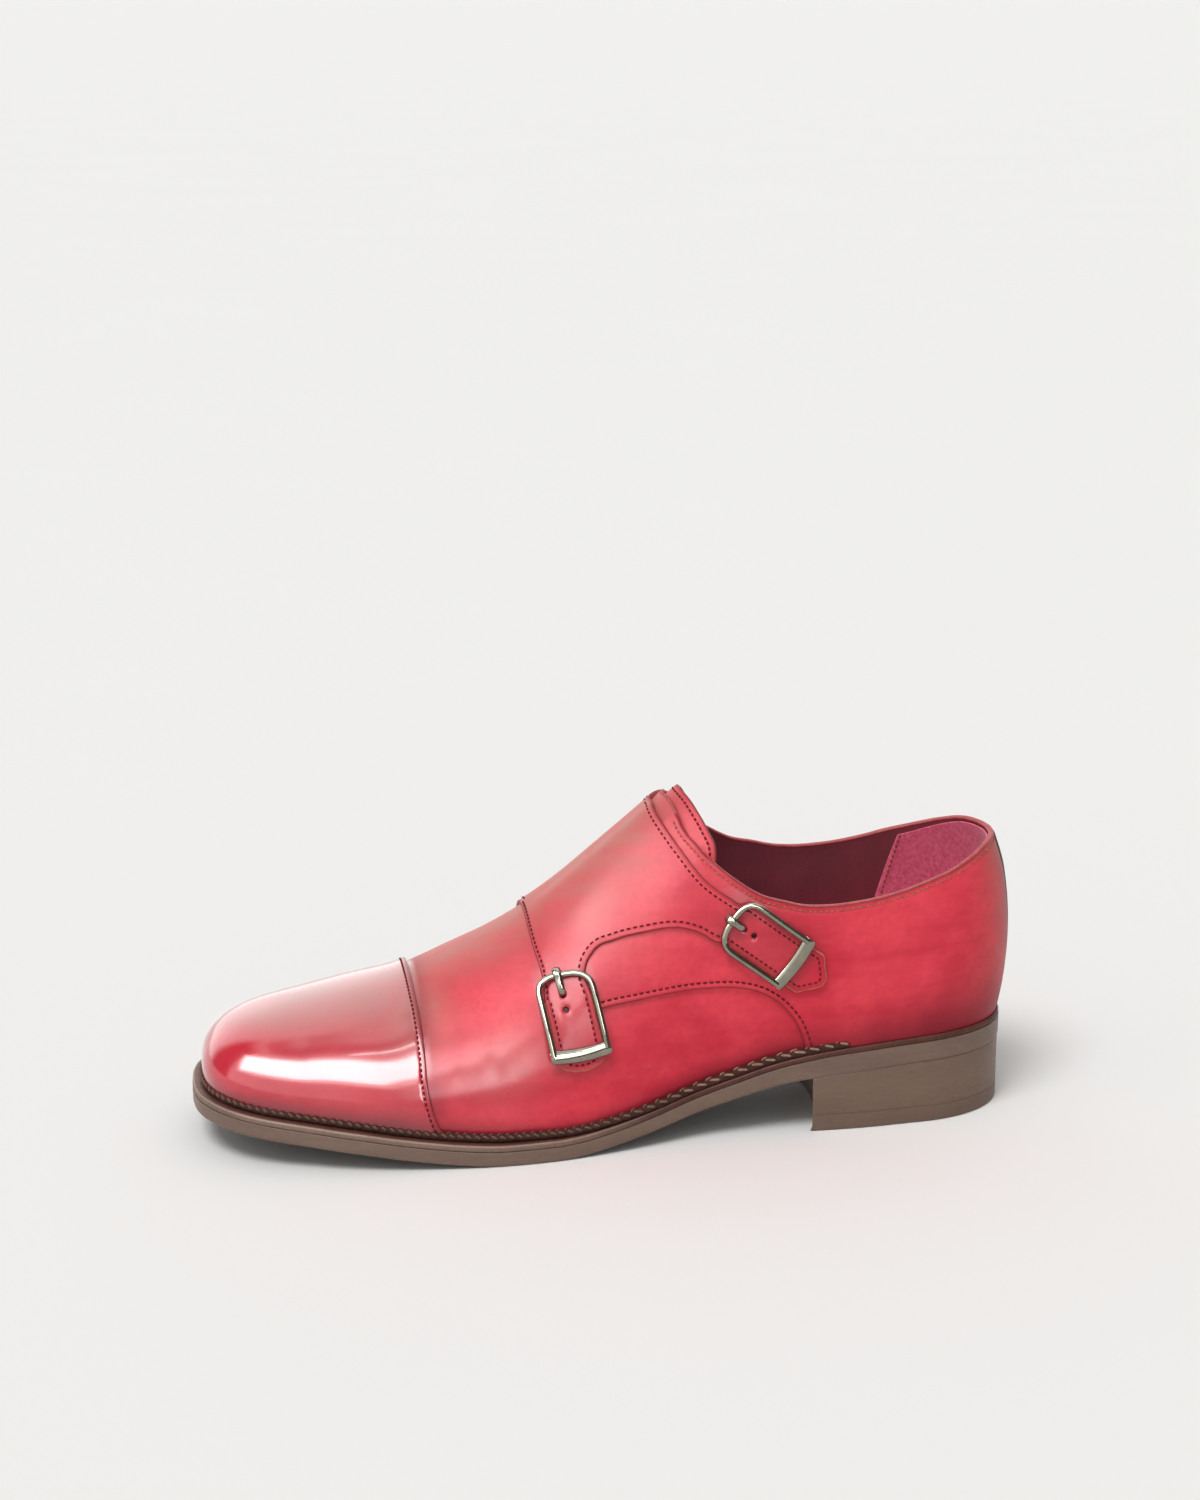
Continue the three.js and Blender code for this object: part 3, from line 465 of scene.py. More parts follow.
    def bare(self, l: Array, s: Array) -> Array:
        """A point of the last's surface. Past an end, l runs on along the other side."""
        l, s = np.broadcast_arrays(np.asarray(l, float), np.asarray(s, float))
        past = (l < 0) | (l > self.reach)
        s = np.where(past, -s, s)
        l = np.abs(np.where(l > self.reach, 2 * self.reach - l, l))
        side = np.where(s < 0, OUTER, INNER)
        return self.surface(self.share(l), side, 1 - np.abs(s))

    def slopes(self, l: Array, s: Array) -> tuple[Array, Array]:
        """How the surface moves per unit of l and of s."""
        by_l = (self.bare(l + self.step_l, s) - self.bare(l - self.step_l, s)) / (2 * self.step_l)
        inner = np.clip(s, -1 + self.step_s, 1 - self.step_s)
        by_s = (self.bare(l, inner + self.step_s) - self.bare(l, inner - self.step_s)) / (2 * self.step_s)
        return by_l, by_s

    def normal(self, l: Array, s: Array) -> Array:
        """Outward direction of the surface."""
        clear = np.where(np.abs(s) < 2 * self.step_s, np.where(s < 0, -1, 1) * 2 * self.step_s, s)
        past_pivot = (l > self.along(self.toe_pivot)) | (l < self.along(self.heel_pivot))
        by_l, by_s = self.slopes(l, np.where(past_pivot, clear, s))
        return unit(np.cross(by_s, by_l))

    def place(self, l: Array, s: Array, height: Array | float = 0.0) -> Array:
        """A point at a height over the last's surface."""
        return self.bare(l, s) + self.normal(l, s) * np.asarray(height, float)[..., None]

    def seam(self, rows: Sequence[tuple[float, float]], side: float) -> list[tuple[float, float]]:
        """A seam's rows (t, v) as places (l, s) on a side."""
        return [(float(self.along(t)), side * (1 - v)) for t, v in rows]

    def collar_places(self, side: float, start: float, end: float, count: int) -> list[tuple[float, float]]:
        """The collar line on a side from one share of the length to another."""
        t = np.linspace(start, end, count)
        v = COLLAR.read("outer" if side < 0 else "inner", t)
        return list(zip(self.along(t).tolist(), (side * (1 - v)).tolist()))

    def curve(self, points: Sequence[Sequence[float]]) -> Array:
        """A smooth path through places."""
        return smooth_path(points, (1, self.girth))


@dataclass(frozen=True)
class Strap:
    """A strap of the panel, with the middle of its buckle at (t, v) and its angle in the side view.

    Lengths run along the strap from the buckle's middle to its tip: root is how far it goes the other
    way, holes are the prong's and the spare one, and hole is how far they lie across from the middle.
    Swell, dip and crease are heights of the leather's relief.
    """

    name: str
    t: float
    v: float
    angle: float
    root: float
    shoulder: float
    tip: float
    pointed: bool
    hole: float
    holes: tuple[float, float]
    width: float = 17
    blunt_tip: float = 1.6
    round_corner: float = 0.8
    swell: float = 0.6
    dip: float = 0.35
    crease: float = 0.22

    def frame(self, last: Last) -> tuple[Array, Array, Array]:
        """The buckle's middle, and the directions along and across the strap."""
        l, s = last.along(self.t), np.array(OUTER * (1 - self.v))
        middle = last.bare(l, s)
        normal = last.normal(l, s)
        turn = math.radians(self.angle)
        along = np.array([math.cos(turn), 0, math.sin(turn)])
        along = unit(along - normal * dot(along, normal))
        return middle, along, np.cross(normal, along)

    def places(self, last: Last, a: Array, b: Array) -> Array:
        """Places (l, s) that lie a along and b across from the middle, by Newton steps on the last."""
        middle, along, across = self.frame(last)
        a, b = np.broadcast_arrays(np.asarray(a, float), np.asarray(b, float))
        l = np.full(a.shape, float(last.along(self.t)))
        s = np.full(a.shape, OUTER * (1 - self.v))
        for _ in range(8):
            here = last.bare(l, s) - middle
            by_l, by_s = last.slopes(l, s)
            miss_a, miss_b = a - here @ along, b - here @ across
            la, lb, sa, sb = by_l @ along, by_l @ across, by_s @ along, by_s @ across
            scale = la * sb - lb * sa
            l = l + (miss_a * sb - miss_b * sa) / scale
            s = s + (miss_b * la - miss_a * lb) / scale
        return np.stack([l, s], -1)

    def offsets(self, last: Last, l: Array, s: Array) -> tuple[Array, Array]:
        """How far places lie along and across the strap from the buckle's middle."""
        middle, along, across = self.frame(last)
        here = last.bare(l, s) - middle
        return here @ along, here @ across

    def near(self, last: Last, l: Array, s: Array) -> Array:
        """One on the strap's free end, falling off softly round it."""
        # Its soft fall-off round the strap gives the patina's painted shadow on the quarter.
        a, b = self.offsets(last, l, s)
        reach = (1 - ease(np.abs(b), self.width / 2, self.width / 2 + 4)) * ease(a, -26, -12)
        return reach * (1 - ease(a, self.width, self.width + 6)) * (s < 0)

    def bulge(self, last: Last, l: Array, s: Array) -> Array:
        """How the leather swells inside the buckle's frame and dips round the open hole."""
        a, b = self.offsets(last, l, s)
        near = (np.abs(a) < 2 * self.width) & (np.abs(b) < self.width / 2 + 1)
        swell = self.swell * bump(a, -1, 7) * np.maximum(0, 1 - (b / 9.5) ** 2)
        dip = self.dip * bump(np.hypot(a - self.holes[1], b - self.hole), 0, 2.4)
        crease = self.crease * bump(a, self.holes[1] + 3.2, 1.1) * bump(b, 1, 4)
        return near * (swell - dip - crease)

    def outline(self, last: Last) -> Array:
        """The strap's rim past its root: down the toe-side edge, round the tip and back up."""
        half = self.width / 2
        edge = np.linspace(-self.root, self.shoulder - self.round_corner, 40)
        down = np.stack([edge, np.full_like(edge, -half)], -1)
        back = np.stack([edge[::-1], np.full_like(edge, half)], -1)
        if self.pointed:
            rise = [(self.shoulder, -half), (self.tip, -self.blunt_tip)]
            tip = np.array([*rise, *((a, -b) for a, b in rise[::-1])])
            tip = rounded(np.concatenate([down[-1:], tip, back[:1]]), self.round_corner)[1:-1]
        else:
            turn = np.linspace(-HALF_TURN / 2, HALF_TURN / 2, 31)
            reach = self.shoulder + (self.tip - self.shoulder) * np.cos(turn)
            tip = np.stack([reach, half * np.sin(turn)], -1)
        return self.places(last, *np.concatenate([down, tip, back]).T)


def rounded(corners: Array, radius: float) -> Array:
    """A polyline with its inner corners rounded by short quadratic curves."""
    way = [corners[0]]
    for before, here, after in zip(corners, corners[1:], corners[2:]):
        enter = here + unit(before - here) * radius
        leave = here + unit(after - here) * radius
        share = np.linspace(0, 1, 7)[:, None]
        way.extend((1 - share) ** 2 * enter + 2 * share * (1 - share) * here + share**2 * leave)
    way.append(corners[-1])
    return np.array(way)


FRONT_STRAP = Strap("front", 0.5625, 0.372, -80, 6, 15, 19.5, False, -1.5, (-7.2, -2.2))
REAR_STRAP = Strap("rear", 0.324, 0.235, -36, 12, 20.8, 27, True, 0, (-8.8, -4.4))
STRAPS = (FRONT_STRAP, REAR_STRAP)
BUCKLE_LENGTH = 30


# Meshes


@dataclass
class Shape:
    """Points and faces of a piece, with values at its points for the finishes to read."""

    points: Array
    faces: list[Array]
    finish: list[int]
    values: dict[str, Array] = field(default_factory=dict)

    def split_underside(self, steepness: float = -0.75) -> None:
        """Gives the faces that look down the second finish."""
        faces, finish = [], []
        for group, index in zip(self.faces, self.finish):
            corners = self.points[group]
            normal = unit(np.cross(corners[:, 1] - corners[:, 0], corners[:, 2] - corners[:, 0]))
            down = normal[:, 2] < steepness
            faces += [group[~down], group[down]]
            finish += [index, 1]
        self.faces, self.finish = faces, finish

    def joined(self, other: Shape) -> Shape:
        """Both shapes as one, without their values."""
        faces = self.faces + [group + len(self.points) for group in other.faces]
        return Shape(np.concatenate([self.points, other.points]), faces, self.finish + other.finish)


@dataclass
class Workshop:
    """Turns shapes in the last's frame into finished objects on the frame's body."""

    last: Last
    shift: Array

    @classmethod
    def from_frame(cls, last: Last) -> Workshop:
        """Finds the last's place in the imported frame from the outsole's box."""
        low, high = (np.array(corner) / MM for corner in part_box("outsole"))
        t = last.share(np.linspace(0, last.reach, 400))
        ys = np.concatenate([last.outline(t, side, last.overhang)[1] for side in (OUTER, INNER)])
        x = high[0] - last.overhang(np.zeros(1))[0]
        y = (low[1] + high[1] - ys.min() - ys.max()) / 2
        return cls(last, np.array([x, y, 0]))

    def make(
        self,
        name: str,
        shape: Shape,
        finishes: Sequence[bpy.types.Material],
        slot: str,
        replaces: Sequence[str] = (),
    ) -> bpy.types.Object:
        """Makes an object of a shape.

        Args:
            name: The piece's name.
            shape: Its points in millimetres in the last's frame.
            finishes: Materials, by the index in shape.finish.
            slot: A material slot name; not used.
            replaces: Nodes that it stands for.

        Returns:
            The object, riding on the body.
        """
        mesh = bpy.data.meshes.new(name)
        faces = [face for group in shape.faces for face in group.tolist()]
        mesh.from_pydata(((shape.points + self.shift) * MM).tolist(), [], faces)
        for finish in finishes:
            mesh.materials.append(finish)
        index = np.repeat(shape.finish, [len(group) for group in shape.faces])
        mesh.polygons.foreach_set("material_index", index.astype(np.int32))
        for key, values in shape.values.items():
            layer = mesh.attributes.new(key, "FLOAT", "POINT")
            layer.data.foreach_set("value", values.astype(np.float32))
        work = bmesh.new()
        work.from_mesh(mesh)
        bmesh.ops.remove_doubles(work, verts=work.verts, dist=WELD)
        bmesh.ops.dissolve_degenerate(work, edges=work.edges, dist=SHORTEST_EDGE)
        loose = [vertex for vertex in work.verts if not vertex.link_faces]
        bmesh.ops.delete(work, geom=loose, context="VERTS")
        work.to_mesh(mesh)
        work.free()
        mesh.shade_smooth()
        mesh.set_sharp_from_angle(angle=SHARP_ANGLE)
        piece = bpy.data.objects.new(name, mesh)
        bpy.context.scene.collection.objects.link(piece)
        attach(piece, "root")
        if replaces:
            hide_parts(*replaces)
        triangles = sum(len(polygon.vertices) - 2 for polygon in mesh.polygons)
        LOG.info("%s: %d triangles", name, triangles)
        return piece


def grid_faces(rows: int, columns: int, round_rows: bool = False, round_columns: bool = False) -> Array:
    """Quads between the points of a grid, numbered row by row."""
    i = np.arange(rows if round_rows else rows - 1)
    j = np.arange(columns if round_columns else columns - 1)
    i, j = np.meshgrid(i, j, indexing="ij")
    after_i, after_j = (i + 1) % rows, (j + 1) % columns
    quads = [i * columns + j, i * columns + after_j, after_i * columns + after_j, after_i * columns + j]
    return np.stack([corner.ravel() for corner in quads], -1)


def outward(points: Array, faces: list[Array]) -> list[Array]:
    """Faces turned so that the closed shape's volume is positive."""
    total = 0.0
    for group in faces:
        a, b, c = points[group[:, 0]], points[group[:, 1]], points[group[:, 2]]
        total += dot(a, np.cross(b, c)).sum()
        if group.shape[1] == 4:
            total += dot(a, np.cross(c, points[group[:, 3]])).sum()
    return faces if total > 0 else [group[:, ::-1] for group in faces]


def sweep(rings: Array, goes_round: bool = False, pinched: bool = False) -> Shape:
    """A closed skin over rings of equally many points.

    Args:
        rings: Points by ring and place on it.
        goes_round: Whether the last ring meets the first.
        pinched: Whether the end rings are flat, so that their points meet in pairs and need no fan.

    Returns:
        The skin.
    """
    count, around = rings.shape[:2]
    points = rings.reshape(-1, 3)
    faces = [grid_faces(count, around, goes_round, True)]
    if not goes_round and not pinched:
        centres = rings[[0, -1]].mean(1)
        k = np.arange(around)
        after = (k + 1) % around
        near, far = len(points), len(points) + 1
        faces.append(np.stack([np.full_like(k, near), after, k], -1))
        base = (count - 1) * around
        faces.append(np.stack([np.full_like(k, far), base + k, base + after], -1))
        points = np.concatenate([points, centres])
    return Shape(points, outward(points, faces), [0] * len(faces))


def tube(path: Array, up: Array, radius: float, sides: int, flat: float) -> Shape:
    """A round wire along a path.

    Args:
        path: Points of its middle line.
        up: A direction at each point that the section is squared to.
        radius: Its radius.
        sides: Points round the wire.
        flat: Height of the section as a share of its width.

    Returns:
        The wire's shape.
    """
    forwards = unit(np.gradient(path, axis=0))
    across = unit(np.cross(up, forwards))
    above = np.cross(forwards, across)
    turn = FULL_TURN * (np.arange(sides) + 0.5) / sides
    ring = across[:, None] * np.cos(turn)[:, None] + above[:, None] * np.sin(turn)[:, None] * flat
    return sweep(path[:, None] + ring * radius)


# Leather pieces


@dataclass
class Run:
    """A stretch of a rim: its path of places (l, s), its kind, and the row of stitches inside it."""

    path: Array
    kind: Edge = Edge.CUT
    thread: float = 0.0
    pitch: float = 2.3
    raw: bool = False
    light: bool = False


@dataclass
class Row:
    """A row of stitches as points on the leather with the directions up from it."""

    points: Array
    up: Array
    pitch: float
    light: bool = False


@dataclass
class Leather:
    """A piece of leather that lies over the last inside a rim.

    The rim runs anticlockwise seen from outside. From the rim a rounded edge rises over a few rings,
    and inside the last ring a triangulation joins rows that follow the edge to an even grid. Pits are
    the punched holes. Lengths are in millimetres, and the edge's profile is rows of how far inwards
    and which share of the thickness up.
    """

    last: Last
    runs: list[Run]
    base: Callable[[Array, Array], Array]
    thickness: float
    patina: Callable[[Array, Array], dict[str, Array]]
    spacing: float = 1.7
    relief: Callable[[Array, Array], Array] | None = None
    pits: Array | None = None
    pit_radius: float = 0.95
    underside: int = 1
    edge_finish: int = 0
    rim_spacing: float = 0.6
    edge_profile: tuple[tuple[float, float], ...] = ((0, 0), (0, 0.6), (0.06, 0.82), (0.2, 0.95), (0.45, 1.0))
    band: tuple[float, ...] = (0.8, 1.2, 1.6, 1.95, 2.3, 2.65, 3.1, 3.7)
    groove: float = 0.17

    def walk(self, run: Run) -> Array:
        """A run's places at an even spacing in space, without its last point."""
        if run.kind is Edge.FOLD:
            steps = np.linspace(0, 1, 33)[:, None]
            path = run.path[0] + (run.path[-1] - run.path[0]) * steps
        else:
            path = run.path
        space = self.last.bare(*path.T)
        pace = run_lengths(space)
        count = max(2, int(round(pace[-1] / self.rim_spacing)))
        even = np.linspace(0, pace[-1], count + 1)[:-1]
        if run.kind is Edge.FOLD:
            steps = np.linspace(0, 1, count + 1)[:-1, None]
            return run.path[0] + (run.path[-1] - run.path[0]) * steps
        return read_rows(even, pace, path)

    def inwards(self, rim: Array, cut_ahead: Array, fold: Array) -> Array:
        """The step in (l, s) that moves each rim point 1 mm into the piece, square to its cut edge."""
        space = self.last.bare(*rim.T)
        ahead = unit(np.roll(space, -1, 0) - space)
        behind = np.roll(ahead, 1, 0)
        cut_behind = np.roll(cut_ahead, 1)
        tangent = unit(ahead * cut_ahead[:, None] + behind * cut_behind[:, None])
        normal = self.last.normal(*rim.T)
        into = unit(np.cross(normal, tangent))
        by_l, by_s = self.last.slopes(*rim.T)
        ll, ls, ss = dot(by_l, by_l) + 1e-6, dot(by_l, by_s), dot(by_s, by_s) + 1e-6
        rl, rs = dot(by_l, into), dot(by_s, into)
        scale = ll * ss - ls * ls
        step = np.stack([(rl * ss - rs * ls) / scale, (rs * ll - rl * ls) / scale], -1)
        step[fold, 0] = 0
        return step * (cut_ahead | cut_behind)[:, None]

    def distance(self, space: Array, rim_space: Array) -> Array:
        """Distance of each point to the nearest of the rim's points."""
        if len(rim_space) == 0:
            return np.full(len(space), 99.0)
        found = [
            np.sqrt(((part[:, None] - rim_space[None]) ** 2).sum(-1).min(1))
            for part in np.array_split(space, max(1, len(space) // 2000))
        ]
        return np.concatenate(found)

    def inside(self, places: Array, rim: Array) -> Array:
        """Whether each place lies within the rim, by the crossings of a ray."""
        x, y = places[:, 1][:, None], places[:, 0][:, None]
        x0, y0 = rim[:, 1][None], rim[:, 0][None]
        x1, y1 = np.roll(rim[:, 1], -1)[None], np.roll(rim[:, 0], -1)[None]
        crosses = (y0 > y) != (y1 > y)
        at = x0 + (y - y0) / np.where(y1 == y0, 1e-12, y1 - y0) * (x1 - x0)
        return (crosses & (x < at)).sum(1) % 2 == 1

    def inner_places(self, rim: Array, ring: Array, step: Array, is_cut: Array) -> Array:
        """Places inside the last ring: rows along the cut edges, pits and an even grid."""
        last = self.last
        rim_space = last.bare(*rim.T)
        cut_space = rim_space[is_cut]
        found = []
        for inset in self.band:
            row = rim[is_cut] + inset * step[is_cut]
            clear = self.distance(last.bare(*row.T), cut_space) > 0.97 * inset
            found.append(row[clear])
        band = np.concatenate(found) if found else np.zeros((0, 2))
        rows = np.arange(0, last.reach, self.spacing)
        half = int(last.girth / self.spacing)
        columns = np.arange(-half, half + 1) / half
        grid = np.stack(np.meshgrid(rows, columns, indexing="ij"), -1).reshape(-1, 2)
        box = (grid >= rim.min(0)).all(1) & (grid <= rim.max(0)).all(1)
        grid = grid[box]
        space = last.bare(*grid.T)
        grid = grid[self.distance(space, cut_space) > self.band[-1] + 0.5 * self.spacing]
        places = np.concatenate([band, grid])
        places = places[self.inside(places, ring)]
        space = last.bare(*places.T)
        keep = self.distance(space, rim_space) > 0.7
        if self.pits is not None:
            centres = last.bare(*self.pits.T)
            keep &= self.distance(space, centres) > 2.6 * self.pit_radius
        places, space = places[keep], space[keep]
        _, first = np.unique(np.round(space / 0.4), axis=0, return_index=True)
        return places[np.sort(first)]

    def pit_places(self) -> Array:
        """Rings of places round each pit."""
        radii = np.array([0.35, 0.65, 0.85, 0.95, 1.05, 1.2, 1.5, 1.9, 2.4]) * self.pit_radius
        turn = FULL_TURN * np.arange(20) / 20
        found = [self.pits]
        by_l, by_s = self.last.slopes(*self.pits.T)
        per_l = 1 / np.linalg.norm(by_l, axis=-1)
        per_s = 1 / np.linalg.norm(by_s, axis=-1)
        for radius in radii:
            for l, s, pl, ps in zip(*self.pits.T, per_l, per_s):
                found.append(np.stack([l + radius * pl * np.cos(turn), s + radius * ps * np.sin(turn)], -1))
        return np.concatenate(found)

    def shape(self) -> tuple[Shape, list[Row]]:
        """Works out the piece.

        Returns:
            Its closed shape and the rows where its stitches go.
        """
        last = self.last
        walks = [self.walk(run) for run in self.runs]
        rim = np.concatenate(walks)
        kinds = np.concatenate([[run.kind.name] * len(walk) for run, walk in zip(self.runs, walks)])
        cut_ahead = kinds == Edge.CUT.name
        fold_ahead = kinds == Edge.FOLD.name
        fold = fold_ahead | np.roll(fold_ahead, 1)
        is_cut = cut_ahead | np.roll(cut_ahead, 1)
        step = self.inwards(rim, cut_ahead, fold)
        rings = [rim + inset * step for inset, _ in self.edge_profile]
        ring = rings[-1]
        inner = self.inner_places(rim, ring, step, is_cut)
        if self.pits is not None:
            inner = np.concatenate([inner, self.pit_places()])
        count = len(rim)
        places = np.concatenate([ring, inner])
        flat = [Vector((s * last.girth, l)) for l, s in places]
        loop = [(i, (i + 1) % count) for i in range(count)]
        found, _, triangles, origins, _, _ = delaunay_2d_cdt(flat, loop, [], 1, 1e-7)
        top = np.array([(point.y, point.x / last.girth) for point in found])
        triangles = np.array([face for face in triangles if len(face) == 3])
        ring_ids = np.zeros(count, int)
        for new, old in enumerate(origins):
            for index in old:
                if index < count:
                    ring_ids[index] = new
        rim_space = last.bare(*rim.T)
        edge = self.distance(last.bare(*top.T), rim_space[is_cut])
        height = self.base(*top.T) + self.thickness + self.carve(top, edge)
        upper = last.place(*top.T, height)
        lower = last.place(*top.T, self.base(*top.T))
        sides = [
            last.place(*way.T, self.base(*way.T) + up * self.thickness)
            for way, (_, up) in zip(rings[:-1], self.edge_profile[:-1])
        ]
        points = np.concatenate([upper, lower, *sides])
        raw = np.concatenate([np.full(len(walk), run.raw) for run, walk in zip(self.runs, walks)])
        walls, raw_walls = [], []
        start = 2 * len(top)
        levels = [start + k * count + np.arange(count) for k in range(len(sides))] + [ring_ids]
        for low, high in zip(levels, levels[1:]):
            quads = np.stack([low, np.roll(low, -1), np.roll(high, -1), high], -1)
            walls.append(quads[~fold_ahead & ~raw])
            raw_walls.append(quads[~fold_ahead & raw])
        hem = ring_ids + len(top)
        under = np.stack([levels[0], hem, np.roll(hem, -1), np.roll(levels[0], -1)], -1)[~fold_ahead]
        faces = [triangles, triangles[:, ::-1] + len(top), under, *walls, *raw_walls]
        finish = [0, self.underside, self.underside, *[0] * len(walls), *[self.edge_finish] * len(raw_walls)]
        values = {"edge": np.concatenate([edge, np.full(len(top), 9.0), np.zeros(count * len(sides))])}
        values["raw_edge"] = np.full(len(points), 9.0)
        values["raw_edge"][: len(top)] = self.distance(last.bare(*top.T), rim_space[raw])
        values["raw_edge"][2 * len(top) :] = np.tile(np.where(raw, 0.0, 9.0), len(sides))
        # Where the punched holes are; their colour goes near-black there as painted shade.
        values["hole"] = np.zeros(len(points))
        if self.pits is not None:
            centres = last.bare(*self.pits.T)
            away = self.distance(last.bare(*top.T), centres) / self.pit_radius
            values["hole"][: len(top)] = 1 - ease(away, 0.85, 1.1)
        values.update(self.patina(*np.concatenate([top, top, *rings[:-1]]).T))
        return Shape(points, faces, finish, values), self.rows(walks, step)

    def carve(self, places: Array, edge: Array) -> Array:
        """Height added to the outer face: creases, the channel under the stitches and punched pits."""
        height = np.zeros(len(places))
        if self.relief is not None:
            height = height + self.relief(*places.T)
        threads = [run.thread for run in self.runs if run.thread > 0]
        if threads:
            height = height - self.groove * bump(edge, threads[0], 0.45)
        if self.pits is not None:
            centres = self.last.bare(*self.pits.T)
            away = self.distance(self.last.bare(*places.T), centres) / self.pit_radius
            height = height - (self.thickness - 0.15) * (1 - ease(away, 0.9, 1.08))
            height = height - 0.15 * bump(away, 1.0, 0.6)
        return height

    def rows(self, walks: list[Array], step: Array) -> list[Row]:
        """The stitch rows inside the runs that have them."""
        found = []
        start = 0
        cut_space = self.last.bare(*np.concatenate(walks).T)
        for run, walk in zip(self.runs, walks):
            here = slice(start, start + len(walk))
            start += len(walk)
            if run.thread <= 0:
                continue
            way = walk + run.thread * step[here]
            space = self.last.bare(*way.T)
            clear = self.distance(space, cut_space) > 0.9 * run.thread
            way = way[clear]
            lift = self.base(*way.T) + self.thickness - self.groove
            if self.relief is not None:
                lift = lift + self.relief(*way.T)
            points = self.last.place(*way.T, lift)
            found.append(Row(points, self.last.normal(*way.T), run.pitch, run.light))
        return found


def plain(height: float) -> Callable[[Array, Array], Array]:
    """A base at one height over the last."""
    return lambda l, s: np.full(np.shape(l), float(height))


def slab(last: Last, l: Array, s: Array, low: Array | float, high: Array | float) -> Shape:
    """A sheet over a grid of places, closed between its lower and its upper face."""
    rows, columns = l.shape
    upper = last.place(l, s, np.broadcast_to(high, l.shape)).reshape(-1, 3)
    lower = last.place(l, s, np.broadcast_to(low, l.shape)).reshape(-1, 3)
    size = rows * columns
    ids = np.arange(size).reshape(rows, columns)
    border = np.concatenate([ids[0, :-1], ids[:-1, -1], ids[-1, :0:-1], ids[:0:-1, 0]])
    after = np.roll(border, -1)
    wall = np.stack([border, after, after + size, border + size], -1)
    top = grid_faces(rows, columns)
    points = np.concatenate([upper, lower])
    faces = outward(points, [top, top[:, ::-1] + size, wall[:, ::-1]])
    return Shape(points, faces, [0, 0, 0])


# Finishes


class Graph:
    """Adds nodes to a node tree and joins their sockets."""

    def __init__(self, tree: bpy.types.NodeTree) -> None:
        """Keeps the tree."""
        self.tree = tree

    def add(self, kind: str, inputs: dict | None = None, **settings: object) -> bpy.types.Node:
        """Adds a node.

        Args:
            kind: The node's type.
            inputs: Sockets or values for its inputs, by name or number.
            settings: Its own properties.

        Returns:
            The node.
        """
        node = self.tree.nodes.new(kind)
        for name, value in settings.items():
            setattr(node, name, value)
        self.feed(node, inputs or {})
        return node

    def feed(self, node: bpy.types.Node, inputs: dict) -> None:
        """Joins sockets to a node's inputs, or sets values on them."""
        for key, value in inputs.items():
            if isinstance(value, bpy.types.NodeSocket):
                self.tree.links.new(value, node.inputs[key])
            else:
                node.inputs[key].default_value = value

    def group(self, tree: bpy.types.NodeTree, inputs: dict) -> dict[str, bpy.types.NodeSocket]:
        """Adds a group and gives its outputs by name."""
        node = self.add("ShaderNodeGroup", inputs, node_tree=tree)
        return {socket.name: socket for socket in node.outputs}

    def maths(self, operation: str, a: object, b: object = 0.0, clamp: bool = False) -> bpy.types.NodeSocket:
        """A sum, product or other operation on two values."""
        return self.add("ShaderNodeMath", {0: a, 1: b}, operation=operation, use_clamp=clamp).outputs[0]

    def times(self, a: object, b: object, clamp: bool = False) -> bpy.types.NodeSocket:
        """A product."""
        return self.maths("MULTIPLY", a, b, clamp)

    def plus(self, a: object, b: object) -> bpy.types.NodeSocket:
        """A sum."""
        return self.maths("ADD", a, b)

    def minus(self, a: object, b: object) -> bpy.types.NodeSocket:
        """A difference."""
        return self.maths("SUBTRACT", a, b)

    def mix(self, share: object, a: object, b: object) -> bpy.types.NodeSocket:
        """A blend of two colours."""
        return self.add("ShaderNodeMix", {0: share, 6: a, 7: b}, data_type="RGBA").outputs[2]

    def remap(
        self, value: object, low: float, high: float, to_low: float = 0.0, to_high: float = 1.0
    ) -> bpy.types.NodeSocket:
        """A value moved from one range into another, smoothly and clamped."""
        node = self.add(
            "ShaderNodeMapRange",
            {0: value, 1: low, 2: high, 3: to_low, 4: to_high},
            interpolation_type="SMOOTHSTEP",
        )
        return node.outputs[0]

    def fall(self, value: object, low: float, high: float) -> bpy.types.NodeSocket:
        """One below low, nought above high."""
        return self.remap(value, low, high, 1.0, 0.0)

    def noise(self, vector: object, scale: float, detail: float, rough: float) -> bpy.types.NodeSocket:
        """Cloudy noise from 0 to 1."""
        inputs = {"Vector": vector, "Scale": scale, "Detail": detail, "Roughness": rough}
        return self.add("ShaderNodeTexNoise", inputs).outputs["Fac"]

    def attribute(self, name: str) -> bpy.types.NodeSocket:
        """A value stored at the piece's points."""
        return self.add("ShaderNodeAttribute", attribute_name=name).outputs["Fac"]

    def stretched(self, scale: Sequence[float]) -> bpy.types.NodeSocket:
        """Object coordinates stretched on each axis."""
        coordinates = self.add("ShaderNodeTexCoord").outputs["Object"]
        return self.add("ShaderNodeMapping", {"Vector": coordinates, "Scale": tuple(scale)}).outputs[0]


def rgba(colour: Colour) -> tuple[float, float, float, float]:
    """A colour with full alpha."""
    return (*colour, 1.0)


